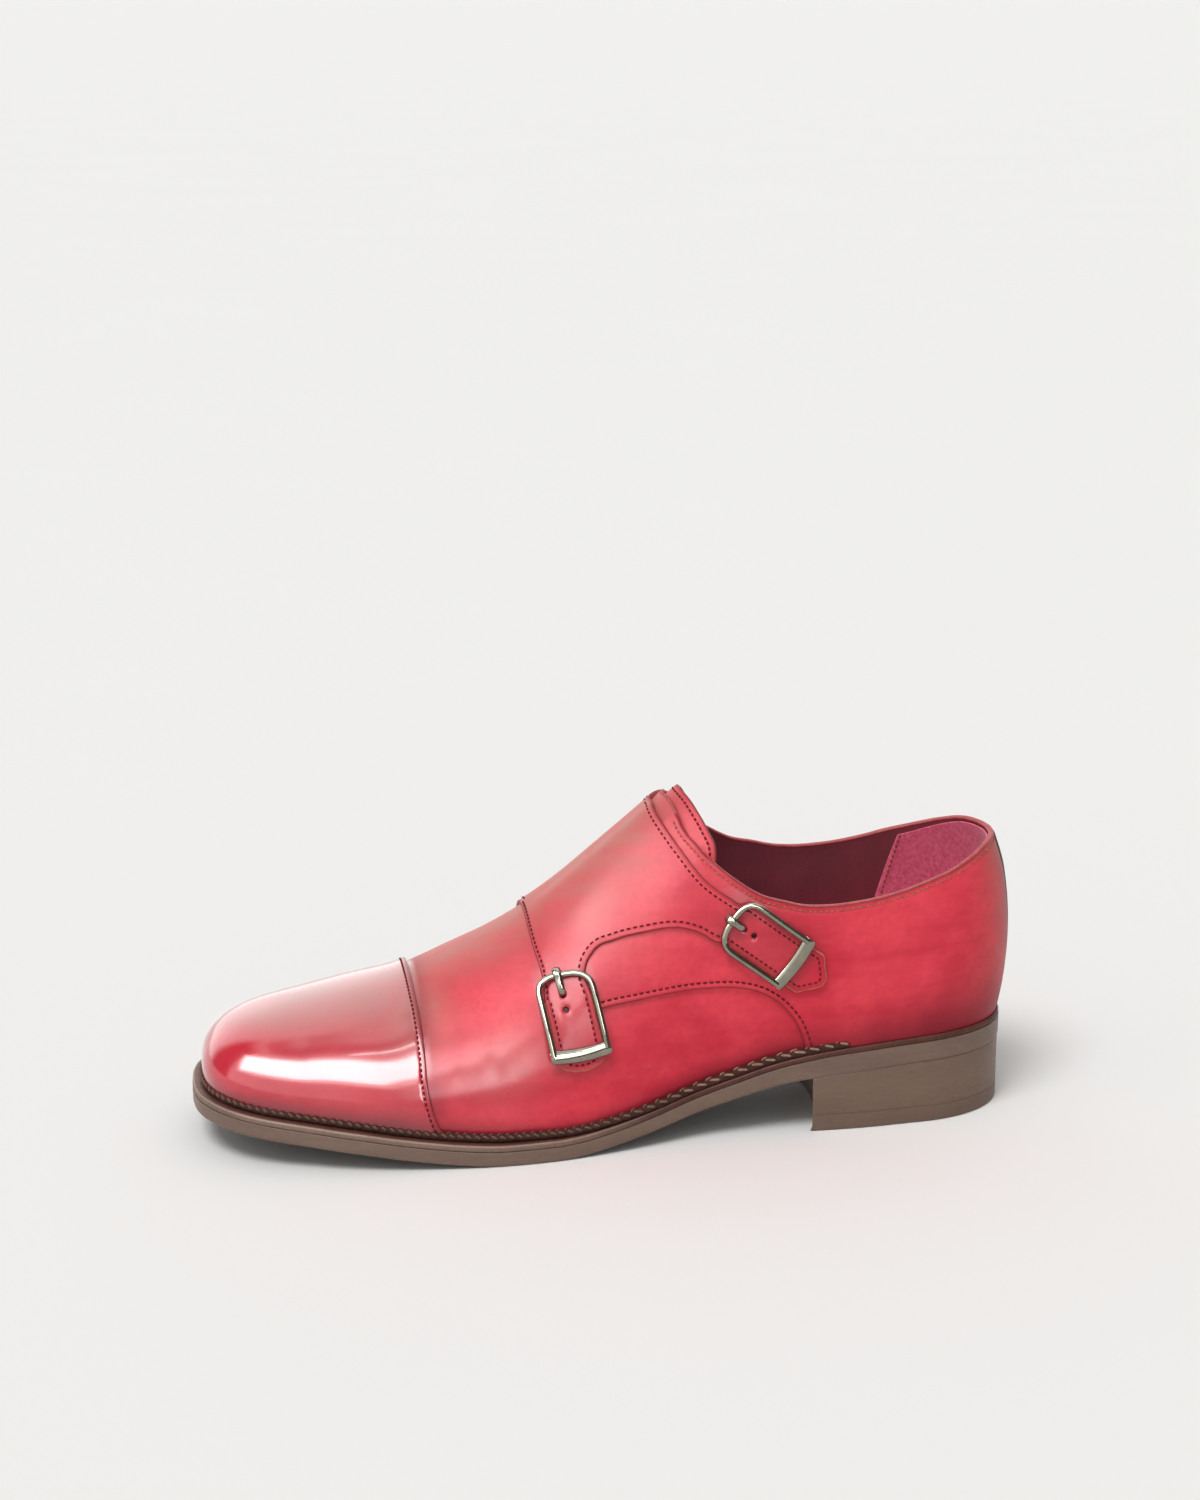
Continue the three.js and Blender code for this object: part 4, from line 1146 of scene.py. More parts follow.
def node_group(
    name: str,
    inputs: dict[str, object],
    outputs: dict[str, str],
    fill: Callable[[Graph, dict[str, bpy.types.NodeSocket]], dict[str, bpy.types.NodeSocket]],
) -> bpy.types.NodeTree:
    """A shader group with named inputs and outputs.

    Args:
        name: The group's name.
        inputs: Default values by input name: a number, a vector or a colour.
        outputs: Socket kinds by output name.
        fill: Builds the nodes from the input sockets and gives the output sockets.

    Returns:
        The group's tree.
    """
    tree = bpy.data.node_groups.new(name, "ShaderNodeTree")
    for key, value in inputs.items():
        kind = "NodeSocketColor" if isinstance(value, tuple) else "NodeSocketFloat"
        socket = tree.interface.new_socket(name=key, in_out="INPUT", socket_type=kind)
        socket.default_value = value
    for key, kind in outputs.items():
        tree.interface.new_socket(name=key, in_out="OUTPUT", socket_type=kind)
    entry = tree.nodes.new("NodeGroupInput")
    leave = tree.nodes.new("NodeGroupOutput")
    results = fill(Graph(tree), {socket.name: socket for socket in entry.outputs if socket.name})
    for key, socket in results.items():
        tree.links.new(socket, leave.inputs[key])
    return tree


def fill_patina(graph: Graph, given: dict[str, bpy.types.NodeSocket]) -> dict[str, bpy.types.NodeSocket]:
    """Hand-coloured leather: cloudy reds, brushed streaks, dark burnishing with painted shade, and pale dust
    with painted sheen.
    """
    clouds = graph.noise(graph.stretched((1, 1, 1)), 26, 4, 0.55)
    streaks = graph.noise(graph.stretched((0.25, 1, 1.6)), 90, 5, 0.6)
    mottle = graph.noise(graph.stretched((1, 1, 1)), 420, 4, 0.6)
    depth = graph.plus(graph.times(clouds, 0.75), graph.times(streaks, 0.35))
    colour = graph.mix(graph.remap(depth, 0.40, 0.72), given["Light"], given["Deep"])
    colour = graph.mix(graph.times(graph.remap(mottle, 0.35, 0.8), 0.35), colour, given["Deep"])
    # Pale dust with painted sheen: lighter on the cap top, by the cap seam, along the ridge, at the heel and
    # low on the vamp.
    ragged_dust_and_sheen = graph.times(graph.remap(streaks, 0.2, 0.8, 0.65, 1.25), graph.attribute("haze"))
    colour = graph.mix(graph.times(ragged_dust_and_sheen, given["Dust amount"], True), colour, given["Dusty"])
    # Darker where the mask says: burnishing, with painted shade round the straps and at the heel's back.
    toning = graph.times(graph.remap(clouds, 0.2, 0.8, 0.75, 1.2), graph.attribute("burnish"))
    colour = graph.mix(graph.times(toning, given["Burnish amount"], True), colour, given["Burnished"])
    scuffs = graph.remap(graph.noise(graph.stretched((0.5, 1, 2.4)), 260, 2, 0.4), 0.66, 0.74)
    scuffs = graph.times(scuffs, graph.remap(clouds, 0.5, 0.62, 0.0, 0.2))
    colour = graph.mix(scuffs, colour, given["Dusty"])
    rough = graph.plus(graph.times(mottle, 0.1), graph.times(clouds, 0.06))
    polish = graph.times(graph.remap(streaks, 0.15, 0.7, 1.1, 0.8), graph.attribute("polish"), True)
    polish = graph.times(polish, graph.remap(graph.attribute("edge"), 0.4, 2.8))
    matt = graph.plus(rough, given["Roughness"])
    smooth = graph.plus(graph.times(rough, 0.4), given["Polished roughness"])
    change = graph.times(polish, graph.minus(smooth, matt))
    polish = graph.times(polish, graph.minus(1.0, graph.attribute("hole")), True)
    coat = graph.times(polish, given["Coat"], True)
    return {"Color": colour, "Roughness": graph.plus(matt, change), "Coat": coat}


def fill_grain(graph: Graph, given: dict[str, bpy.types.NodeSocket]) -> dict[str, bpy.types.NodeSocket]:
    """Fine calf grain: pores, hair-fine wrinkles and slow waves."""
    place = graph.stretched((1, 1, 1))
    pores = graph.add("ShaderNodeTexVoronoi", {"Vector": place, "Scale": 1900.0}).outputs["Distance"]
    wrinkles = graph.noise(graph.stretched((1, 0.6, 1)), 900, 5, 0.65)
    waves = graph.noise(place, 110, 3, 0.5)
    height = graph.plus(graph.times(pores, 0.35), graph.times(wrinkles, 0.8))
    height = graph.plus(height, graph.times(waves, given["Waves"]))
    bumps = {"Strength": given["Strength"], "Distance": 0.0001, "Height": height}
    return {"Normal": graph.add("ShaderNodeBump", bumps).outputs[0]}


def fill_edge(graph: Graph, given: dict[str, bpy.types.NodeSocket]) -> dict[str, bpy.types.NodeSocket]:
    """Darkens leather along its cut edges, shows the raw edge itself and paints the punched holes near-black
    as painted shade.
    """
    edge = graph.attribute("edge")
    fibres = graph.noise(graph.stretched((1, 1, 1)), 1600, 3, 0.6)
    shade = graph.times(graph.fall(edge, 0.1, 1.3), given["Shade amount"], True)
    colour = graph.mix(shade, given["Color"], given["Shade"])
    raw = graph.times(graph.fall(edge, 0.02, 0.3), graph.remap(fibres, 0.3, 0.65), True)
    raw = graph.times(raw, given["Raw amount"], True)
    frayed = graph.fall(graph.attribute("raw_edge"), 0.1, 0.75)
    frayed = graph.times(frayed, graph.remap(fibres, 0.25, 0.6, 0.45, 1.0))
    colour = graph.mix(graph.maths("MAXIMUM", raw, frayed), colour, given["Raw"])
    # Punched holes painted near-black: painted shade in the pits.
    return {"Color": graph.mix(graph.attribute("hole"), colour, (0.025, 0.008, 0.008, 1.0))}


@dataclass
class Finishes:
    """The shader groups that more than one finish uses, built once."""

    patina: bpy.types.NodeTree
    grain: bpy.types.NodeTree
    edge: bpy.types.NodeTree

    @classmethod
    def build(cls) -> Finishes:
        """Builds the groups."""
        red = (0.5, 0.05, 0.1, 1.0)
        patina = node_group(
            "hand_patina",
            {
                "Light": red,
                "Deep": red,
                "Dusty": red,
                "Burnished": red,
                "Dust amount": 1.0,
                "Burnish amount": 1.0,
                "Roughness": 0.3,
                "Polished roughness": 0.1,
                "Coat": 1.0,
            },
            {"Color": "NodeSocketColor", "Roughness": "NodeSocketFloat", "Coat": "NodeSocketFloat"},
            fill_patina,
        )
        grain = node_group(
            "calf_grain",
            {"Strength": 0.3, "Waves": 1.0},
            {"Normal": "NodeSocketVector"},
            fill_grain,
        )
        edge = node_group(
            "cut_edge",
            {"Color": red, "Shade": red, "Shade amount": 0.85, "Raw": red, "Raw amount": 0.5},
            {"Color": "NodeSocketColor"},
            fill_edge,
        )
        return cls(patina, grain, edge)


def new_material(name: str) -> tuple[bpy.types.Material, Graph, bpy.types.Node]:
    """An empty material with its graph and its main shader."""
    material = bpy.data.materials.new(name)
    material.use_nodes = True
    tree = material.node_tree
    shader = next(node for node in tree.nodes if node.type == "BSDF_PRINCIPLED")
    return material, Graph(tree), shader


@dataclass(frozen=True)
class PatinaLeather:
    """Glazed calf with a hand-brushed red patina."""

    name: str
    light: Colour = (0.84, 0.058, 0.088)
    deep: Colour = (0.60, 0.019, 0.045)
    # Colour of the dust, also used for painted sheen and for the scuffs.
    dust_and_sheen_colour: Colour = (0.56, 0.20, 0.175)
    # Colour of the burnishing, also used for painted shade and for the darkened cut edges.
    burnish_and_shade_colour: Colour = (0.24, 0.010, 0.022)
    raw: Colour = (0.80, 0.30, 0.20)
    roughness: float = 0.46
    polished: float = 0.14
    specular: float = 0.18
    coat: float = 0.75
    coat_roughness: float = 0.16
    grain: float = 0.32
    waves: float = 1.0
    raw_amount: float = 0.1

    def build(self, groups: Finishes) -> bpy.types.Material:
        """Makes the material."""
        material, graph, shader = new_material(self.name)
        burnish_and_shade_colour = rgba(self.burnish_and_shade_colour)
        colours = {"Light": rgba(self.light), "Deep": rgba(self.deep), "Dusty": rgba(self.dust_and_sheen_colour)}
        gloss = {
            "Roughness": self.roughness - 0.08,
            "Polished roughness": self.polished,
            "Coat": self.coat,
        }
        patina = graph.group(groups.patina, {**colours, "Burnished": burnish_and_shade_colour, **gloss})
        raw = {"Raw": rgba(self.raw), "Raw amount": self.raw_amount}
        edge = graph.group(groups.edge, {"Color": patina["Color"], "Shade": burnish_and_shade_colour, **raw})
        grain = graph.group(groups.grain, {"Strength": self.grain, "Waves": self.waves})
        inputs = {
            "Base Color": edge["Color"],
            "Roughness": patina["Roughness"],
            "Normal": grain["Normal"],
            "Coat Weight": patina["Coat"],
            "Coat Roughness": self.coat_roughness,
            "Specular IOR Level": self.specular,
        }
        graph.feed(shader, inputs)
        return material


@dataclass(frozen=True)
class PlainStuff:
    """A one-colour stuff with cloudy variation and a fine surface, such as rubber, thread or lining."""

    name: str
    colour: Colour
    second: Colour
    roughness: float = 0.6
    cloud_scale: float = 60
    grit_scale: float = 900
    bump: float = 0.2
    stretch: tuple[float, float, float] = (1, 1, 1)
    sheen: float = 0.0
    metallic: float = 0.0
    specular: float = 0.3
    other: Colour = (0, 0, 0)
    other_where: str = ""

    def build(self, groups: Finishes) -> bpy.types.Material:
        """Makes the material."""
        material, graph, shader = new_material(self.name)
        place = graph.stretched(self.stretch)
        clouds = graph.noise(place, self.cloud_scale, 4, 0.6)
        grit = graph.noise(place, self.grit_scale, 4, 0.6)
        share = graph.remap(graph.plus(graph.times(clouds, 0.7), graph.times(grit, 0.5)), 0.4, 0.8)
        colour = graph.mix(share, rgba(self.colour), rgba(self.second))
        if self.other_where:
            darker = rgba(tuple(0.75 * value for value in self.other))
            other = graph.mix(share, rgba(self.other), darker)
            colour = graph.mix(graph.attribute(self.other_where), colour, other)
        low, high = max(0.02, self.roughness - 0.08), self.roughness + 0.08
        bumps = {"Strength": self.bump, "Distance": 0.0001, "Height": grit}
        inputs = {
            "Base Color": colour,
            "Roughness": graph.remap(grit, 0.2, 0.8, low, high),
            "Normal": graph.add("ShaderNodeBump", bumps).outputs[0],
            "Sheen Weight": self.sheen,
            "Metallic": self.metallic,
            "Specular IOR Level": self.specular,
        }
        graph.feed(shader, inputs)
        return material


@dataclass
class Patina:
    """Where the hand colouring is darker or paler, as soft masks over the last, with painted shade among the
    darker parts and painted sheen among the paler.
    """

    last: Last

    def __call__(self, l: Array, s: Array) -> dict[str, Array]:
        """The burnishing with painted shade, the pale dust with painted sheen, and the polish at places."""
        t = self.last.share(l)
        v = 1 - np.abs(s)
        seam = 0.742 - 0.02 * (1 - v) ** 3
        # Darker towards the welt all round, in a band that is taller at the toe and at the heel.
        tall = 0.07 + 0.1 * ease(t, 0.58, 0.8) + 0.14 * bump(t, 0.03, 0.1)
        bottom = (1.05 + 0.35 * ease(t, 0.7, 0.8)) * (1 - ease(v, -0.02, tall))
        # Painted shade: the heel's back darkened where it turns away from the light.
        back = 0.95 * bump(l, 0, 14)
        # The straps darker, with painted shadow falling off softly round them onto the quarter.
        straps = np.maximum(*(strap.near(self.last, l, s) for strap in STRAPS))
        at_seam = 0.45 * bump(t, seam, 0.012)
        burnish = np.clip(np.maximum.reduce([bottom, back, at_seam, 0.34 * straps]), 0, 1)
        # Dust with painted sheen: a lighter tone on the cap top and by its seam, and painted highlights along
        # the ridge, at the heel and low on the vamp.
        cap_top = 0.75 * ease(t, 0.745, 0.78) * ease(v, 0.42, 0.8)
        near_seam = 0.75 * bump(t, seam + 0.006, 0.045) * ease(v, 0.28, 0.6)
        ridge = 0.95 * bump(s, 0, 0.26 + 0.1 * bump(t, 0.5, 0.06)) * ease(t, 0.38, 0.46)
        low_sheen = 0.28 * bump(t, 0.645, 0.06) * bump(v, 0.3, 0.13)
        heel = 0.5 * bump(l, 12, 14)
        haze = np.clip(np.maximum.reduce([cap_top, near_seam, ridge, heel, low_sheen]), 0, 1)
        cap = ease(t, seam - 0.003, seam + 0.003)
        low_vamp = 0.85 * ease(t, 0.56, 0.66) * (1 - ease(v, 0.24, 0.46)) * (s < 0)
        glow = 0.25 * bump(t, 0.53, 0.03) * bump(v, 0.62, 0.12)
        glow = glow + 0.12 * bump(t, 0.42, 0.05) * bump(v, 0.57, 0.12)
        glow = glow + 0.36 * straps
        return {"burnish": burnish, "haze": haze, "polish": np.clip(np.maximum(cap, low_vamp) + glow, 0, 1)}


UPRIGHT_GRAIN = (0.4, 0.4, 3)
HEEL_COLOURS = ((0.2, 0.128, 0.092), (0.155, 0.096, 0.07))
FINISHES: dict[str, PatinaLeather | PlainStuff] = {
    "cap": PatinaLeather(
        "mirror_glazed_cap", light=(0.66, 0.024, 0.048), deep=(0.52, 0.01, 0.03), dust_and_sheen_colour=(0.48, 0.155, 0.135),
        roughness=0.22, specular=0.45, coat=1.0, coat_roughness=0.085, grain=0.08, waves=0.7,
    ),
    "calf": PatinaLeather("patina_calf"),
    "lining": PlainStuff(
        "lining_leather", (0.27, 0.035, 0.055), (0.16, 0.022, 0.038), 0.5, 40, 1500, 0.15
    ),
    "suede": PlainStuff(
        "heel_suede", (1.0, 0.2, 0.33), (0.72, 0.065, 0.16), 0.9, 700, 2600, 0.9, sheen=0.35, specular=0.1
    ),
    "collar_edge": PlainStuff(
        "collar_edge", (0.5, 0.085, 0.085), (0.32, 0.035, 0.045), 0.55, 300, 1500, 0.5
    ),
    "raw_edge": PlainStuff(
        "raw_leather_edge", (0.62, 0.2, 0.12), (0.36, 0.07, 0.055), 0.8, 400, 1800, 0.8, specular=0.1
    ),
    "thread": PlainStuff(
        "burgundy_thread", (0.21, 0.022, 0.03), (0.1, 0.01, 0.016), 0.8, 800, 3000, 0.6, specular=0.05
    ),
    "light_thread": PlainStuff(
        "salmon_thread", (0.52, 0.21, 0.15), (0.3, 0.08, 0.06), 0.8, 800, 3000, 0.6, specular=0.05
    ),
    "strip": PlainStuff(
        "back_strip_leather", (0.055, 0.014, 0.014), (0.03, 0.01, 0.01), 0.4, 60, 1200, 0.3
    ),
    "sole": PlainStuff(
        "sole_edge", (0.215, 0.141, 0.106), (0.16, 0.101, 0.077), 0.42, 30, 700, 0.3, UPRIGHT_GRAIN
    ),
    # The outsole's underside near-black brown: painted shade under the arch.
    "sole_bottom": PlainStuff(
        "sole_underside", (0.05, 0.035, 0.03), (0.03, 0.022, 0.02), 0.6, 40, 900, 0.4, specular=0.1
    ),
    "heel": PlainStuff("heel_edge", *HEEL_COLOURS, 0.42, 30, 700, 0.3, UPRIGHT_GRAIN),
    "top_piece": PlainStuff("top_piece_rubber", *HEEL_COLOURS, 0.5, 30, 900, 0.3, UPRIGHT_GRAIN),
    "welt": PlainStuff(
        "welt_leather", (0.125, 0.045, 0.032), (0.07, 0.025, 0.02), 0.45, 60, 900, 0.4, specular=0.15,
        other=(0.38, 0.275, 0.22), other_where="taupe",
    ),
    "bead": PlainStuff(
        "bead_leather", (0.075, 0.03, 0.022), (0.035, 0.014, 0.011), 0.7, 300, 1800, 0.8, specular=0.06
    ),
    "bead_thread": PlainStuff(
        "welt_thread", (0.42, 0.27, 0.19), (0.22, 0.12, 0.085), 0.75, 500, 3000, 0.8, specular=0.08,
        other=(0.17, 0.098, 0.072), other_where="taupe",
    ),
    "nickel": PlainStuff(
        "polished_nickel", (0.3, 0.285, 0.23), (0.22, 0.21, 0.165), 0.1, 200, 2500, 0.04, metallic=1.0,
        specular=0.5,
    ),
}
Palette = dict[str, bpy.types.Material]


# The shoe's sub-assemblies


def straight(kind: Edge, *places: Sequence[float]) -> Run:
    """A run straight from place to place."""
    return Run(np.array(places), kind)


def feather_run(lengths: Array, side: float) -> Run:
    """A hidden run along the feather edge on a side."""
    return Run(np.stack([lengths, np.full_like(lengths, side)], -1), Edge.HIDDEN)


# The vamp's creases: middle (t, s), slant of t over s, spread in s, width in t and relative depth

VAMP_CREASES = (
    (0.700, -0.35, 0.035, 0.22, 0.006, 0.30),
    (0.686, -0.48, -0.050, 0.26, 0.007, 0.34),
    (0.668, -0.40, 0.030, 0.30, 0.008, 0.26),
    (0.652, -0.55, -0.030, 0.24, 0.008, 0.22),
    (0.695, 0.42, 0.040, 0.24, 0.007, 0.30),
    (0.676, 0.50, -0.040, 0.26, 0.008, 0.30),
    (0.655, 0.38, 0.030, 0.26, 0.008, 0.24),
    (0.640, 0.02, 0.020, 0.30, 0.010, 0.18),
)


@dataclass
class Upper:
    """The vamp and lining wall, the overlays on it, the collar's edge, grip, tongue and back strip."""

    shop: Workshop
    palette: Palette
    wall: float = 1.6
    cap_thickness: float = 1.3
    quarter_thickness: float = 1.2
    panel_thickness: float = 1.3
    tongue_thickness: float = 1.6
    strip_thickness: float = 0.7
    strip_half: float = 4
    row_inset: float = 2.3
    lift: float = 0.08
    lining_skive: float = 0.45
    wall_skive: float = 0.9
    underside_skive: float = 0.5
    overlay_skive: float = 0.4
    trough: float = 0.13
    ridge: float = 0.08
    rows: list[Row] = field(default_factory=list)

    @property
    def last(self) -> Last:
        """The last that the upper lies on."""
        return self.shop.last

    @property
    def outer_layer(self) -> float:
        """Height of what lies over the outer quarter."""
        return self.last.gap + self.quarter_thickness + self.last.gap

    def skive(self, l: Array, s: Array) -> Array:
        """How far the leather is pared down towards the topline: 1 at the collar, 0 some way below it."""
        t = self.last.share(l)
        top = np.where(s < 0, COLLAR.read("outer", t), COLLAR.read("inner", t))
        below = (top - (1 - np.abs(s))) * self.last.girth
        return (1 - ease(below, 0, 9)) * (1 - ease(t, 0.38, 0.41))

    def wall_base(self, l: Array, s: Array) -> Array:
        """The lining's side of the wall."""
        return -self.wall + self.lining_skive * self.skive(l, s)

    def wall_relief(self, l: Array, s: Array) -> Array:
        """Creases and the pared topline of the wall."""
        return self.creases(l, s) - self.wall_skive * self.skive(l, s)

    def overlay_base(self, l: Array, s: Array) -> Array:
        """The underside of what lies right on the wall."""
        return self.last.gap - 2 * self.lift - self.underside_skive * self.skive(l, s)

    def overlay_relief(self, l: Array, s: Array) -> Array:
        """The pared topline of what lies on the wall."""
        return -self.overlay_skive * self.skive(l, s)

    def creases(self, l: Array, s: Array) -> Array:
        """Soft troughs and ridges across the vamp where the foot bends, in millimetres."""
        t = self.last.share(l)
        height = np.zeros(np.shape(l))
        for centre, across, slant, spread, width, depth in VAMP_CREASES:
            middle = centre + slant * (s - across)
            here = bump(s, across, spread)
            height = height - self.trough * depth * here * bump(t, middle, width)
            height = height + self.ridge * depth * here * bump(t, middle + 1.7 * width, width)
        return height

    def sheet(
        self, name: str, finishes: Sequence[bpy.types.Material], slot: str = "leather", **details: object
    ) -> None:
        """Makes a piece of leather over the last and keeps its rows of stitches.

        Args:
            name: The piece and the node that it stands for.
            finishes: Materials of its outer face and of its other faces.
            slot: The record's material slot.
            details: The fields of Leather, without the last and the patina.
        """
        shape, rows = Leather(self.last, patina=Patina(self.last), **details).shape()
        self.rows += rows
        self.shop.make(name, shape, finishes, slot, [name])

    def vamp(self) -> None:
        """The hollow wall: vamp outside, lining inside, open at the collar."""
        last = self.last
        inner = np.array(last.collar_places(INNER, 0, COLLAR_FRONT, 60))
        outer = np.array(last.collar_places(OUTER, COLLAR_FRONT, 0, 60))
        top = abs(inner[0, 1])
        bottom = np.linspace(0, last.reach, 300)
        runs = [
            Run(outer[::-1]),
            Run(inner[::-1]),
            straight(Edge.FOLD, (0.0, top), (0.0, 1.0)),
            feather_run(bottom, INNER),
            straight(Edge.FOLD, (last.reach, 1.0), (last.reach, -1.0)),
            feather_run(bottom[::-1], OUTER),
            straight(Edge.FOLD, (0.0, -1.0), (0.0, -top)),
        ]
        self.sheet(
            "upper", [self.palette["calf"], self.palette["lining"]], runs=runs, base=self.wall_base,
            thickness=self.wall, relief=self.wall_relief, spacing=1.6,
        )

    def toe_cap(self) -> None:
        """The cap over the toe with its stitched seam."""
        last = self.last
        bottom = np.linspace(float(last.along(CAP_SEAM[0][0])), last.reach, 120)
        seam = last.seam(CAP_SEAM, OUTER) + last.seam(CAP_SEAM, INNER)[-2::-1]
        runs = [
            Run(last.curve(seam), thread=1.9, pitch=2.0),
            feather_run(bottom, INNER),
            straight(Edge.FOLD, (last.reach, 1.0), (last.reach, -1.0)),
            feather_run(bottom[::-1], OUTER),
        ]
        self.sheet(
            "toe_cap", [self.palette["cap"]], "cap_leather", runs=runs, base=plain(last.gap - self.lift * 2),
            thickness=self.cap_thickness + self.lift * 2, underside=0, spacing=1.5,
        )

    def quarter(self) -> None:
        """The outer quarter under the straps."""
        last = self.last
        seam = last.seam(QUARTER_SEAM, OUTER)
        hidden = last.seam(QUARTER_HIDDEN_EDGE, OUTER)
        top = last.collar_places(OUTER, 0, QUARTER_MEETS_COLLAR, 80)
        bottom = np.linspace(float(last.along(QUARTER_SEAM[-1][0])), 0, 60)
        runs = [
            Run(last.curve(seam), thread=self.row_inset),
            feather_run(bottom, OUTER),
            straight(Edge.HIDDEN, (0.0, -1.0), (0.0, top[0][1])),
            Run(np.array(top), thread=2.0, pitch=1.9, light=True),
            straight(Edge.HIDDEN, top[-1], *hidden, seam[0]),
        ]
        self.sheet(
            "quarter_lateral", [self.palette["calf"]], runs=runs, base=self.overlay_base,
            thickness=self.quarter_thickness + self.lift * 2, relief=self.overlay_relief, underside=0,
        )

    def panel_base(self, l: Array, s: Array) -> Array:
        """How far the panel lies over the last: on the vamp in front, on the outer quarter behind."""
        t = self.last.share(l)
        v = 1 - np.abs(s)
        over = (1 - ease(t, 0.574, 0.604)) * ease(t, 0.12, 0.2) * (1 - ease(v, 0.86, 0.98)) * (s < 0)
        flat = self.last.gap - 2 * self.lift
        return np.where(s > 0, self.overlay_base(l, s), flat + over * (self.outer_layer - self.last.gap))

    def panel_relief(self, l: Array, s: Array) -> Array:
        """The pared topline of the inner quarter, and the straps' swell inside their buckles."""
        straps = sum(strap.bulge(self.last, l, s) for strap in STRAPS)
        return self.overlay_relief(l, s) * (s > 0) + straps * (s < 0)

    def panel(self) -> None:
        """The instep panel with both straps, the cut-out between them and the inner quarter."""
        last = self.last
        front, rear = (strap.outline(last) for strap in STRAPS)
        top_inner = last.seam(PANEL_TOP_INNER, INNER)
        collar = last.collar_places(INNER, PANEL_MEETS_COLLAR, 0, 60)
        seam = last.seam(QUARTER_SEAM, INNER)[::-1]
        front_inner = last.seam(PANEL_FRONT_INNER, INNER)[::-1]
        front_outer = [*last.seam(PANEL_FRONT_OUTER, OUTER), tuple(front[0])]
        window = [tuple(front[-1]), *last.seam(PANEL_WINDOW, OUTER), tuple(rear[0])]
        top_outer = [tuple(rear[-1]), *last.seam(PANEL_TOP, OUTER)]
        row = self.row_inset
        runs = [
            Run(last.curve(front_outer), thread=1.3, pitch=2.0),
            Run(front, thread=row, pitch=2.1, raw=True),
            Run(last.curve(window), thread=row),
            Run(rear, thread=row, pitch=2.1, raw=True),
            Run(last.curve(top_outer), thread=row, pitch=2.1),
            Run(last.curve([*top_inner[::-1], collar[0]]), thread=row, pitch=2.1),
            Run(np.array(collar), thread=2.0, pitch=2.0, light=True),
            straight(Edge.HIDDEN, (0.0, collar[-1][1]), (0.0, 1.0)),
            feather_run(np.linspace(0, seam[0][0], 60), INNER),
            Run(last.curve([*seam, *front_inner]), thread=row),
        ]
        holes = [strap.places(last, np.array(strap.holes), strap.hole) for strap in STRAPS]
        self.sheet(
            "strap_panel", [self.palette["calf"], self.palette["raw_edge"]], runs=runs, base=self.panel_base,
            thickness=self.panel_thickness + self.lift * 2, relief=self.panel_relief, underside=0,
            pits=np.concatenate(holes), edge_finish=1,
        )

    def tongue(self) -> None:
        """The tongue under the panel with a stitched top."""
        last = self.last
        outer, inner = (last.seam(TONGUE_TOP, side) for side in (OUTER, INNER))
        low = float(last.along(0.5))
        runs = [
            straight(Edge.HIDDEN, (low, 0.0), (low, -0.4), outer[0]),
            Run(last.curve(outer + inner[-2::-1]), thread=2.2, pitch=2.0),
            straight(Edge.HIDDEN, inner[0], (low, 0.4), (low, 0.0)),
        ]
        self.sheet(
            "tongue", [self.palette["calf"], self.palette["lining"]], runs=runs,
            base=plain(-self.wall - last.gap - self.tongue_thickness), thickness=self.tongue_thickness,
            spacing=1.6,
        )

    def collar_edge(self) -> None:
        """The raw topline that closes lining and leather, with a rounded section."""
        last = self.last
        halves = []
        for side, start, end in ((OUTER, COLLAR_FRONT, 0), (INNER, 0, COLLAR_FRONT)):
            line = np.array(last.collar_places(side, start, end, 300))
            pace = run_lengths(last.bare(*line.T))
            halves.append(read_rows(np.linspace(0, pace[-1], 210)[:-1], pace, line))
        way = np.concatenate(halves)
        middle = last.bare(*way.T)
        normal = last.normal(*way.T)
        forwards = unit(np.roll(middle, -1, 0) - np.roll(middle, 1, 0))
        up = unit(np.cross(forwards, normal))
        up *= np.sign(up[len(up) // 2, 2])
        t = last.share(way[:, 0])
        low = -self.wall + self.lining_skive - 0.1
        outer_end = 1 - ease(t, 0.412, 0.42)
        inner_end = 1 - ease(t, 0.388, 0.398)
        high = (last.gap + self.quarter_thickness - 0.8) * np.where(way[:, 1] < 0, outer_end, inner_end) + 0.1
        turn = FULL_TURN * np.arange(16) / 16
        rise = 0.5 * arc(np.sin(turn), 0.6) - 0.25
        centre = (low + high)[:, None] / 2 + (high - low)[:, None] / 2 * arc(np.cos(turn), 0.45)
        rings = middle[:, None] + normal[:, None] * centre[..., None] + up[:, None] * rise[None, :, None]
        self.shop.make("collar_edge", sweep(rings, True), [self.palette["collar_edge"]], "leather")

    def back_strip(self) -> None:
        """The narrow strip down the back seam."""
        last = self.last
        across = np.linspace(-1, 1, 17)
        share = np.linspace(0.01, 0.97, 60)[:, None]
        top = COLLAR.read("outer", last.share(np.abs(across) * self.strip_half))
        v = share * top
        side = np.where(across < 0, OUTER, INNER)
        l = np.broadcast_to(np.abs(across) * self.strip_half, v.shape)
        s = side * (1 - v)
        low = last.gap + self.panel_thickness - 0.2 - 0.9 * self.skive(l, s)
        crown = self.strip_thickness * np.maximum(0, 1 - np.abs(across) ** 6) + last.gap * 0.3
        shape = slab(last, l, s, low, low + 0.2 + crown)
        self.shop.make("back_strip", shape, [self.palette["strip"]], "leather", ["back_strip"])

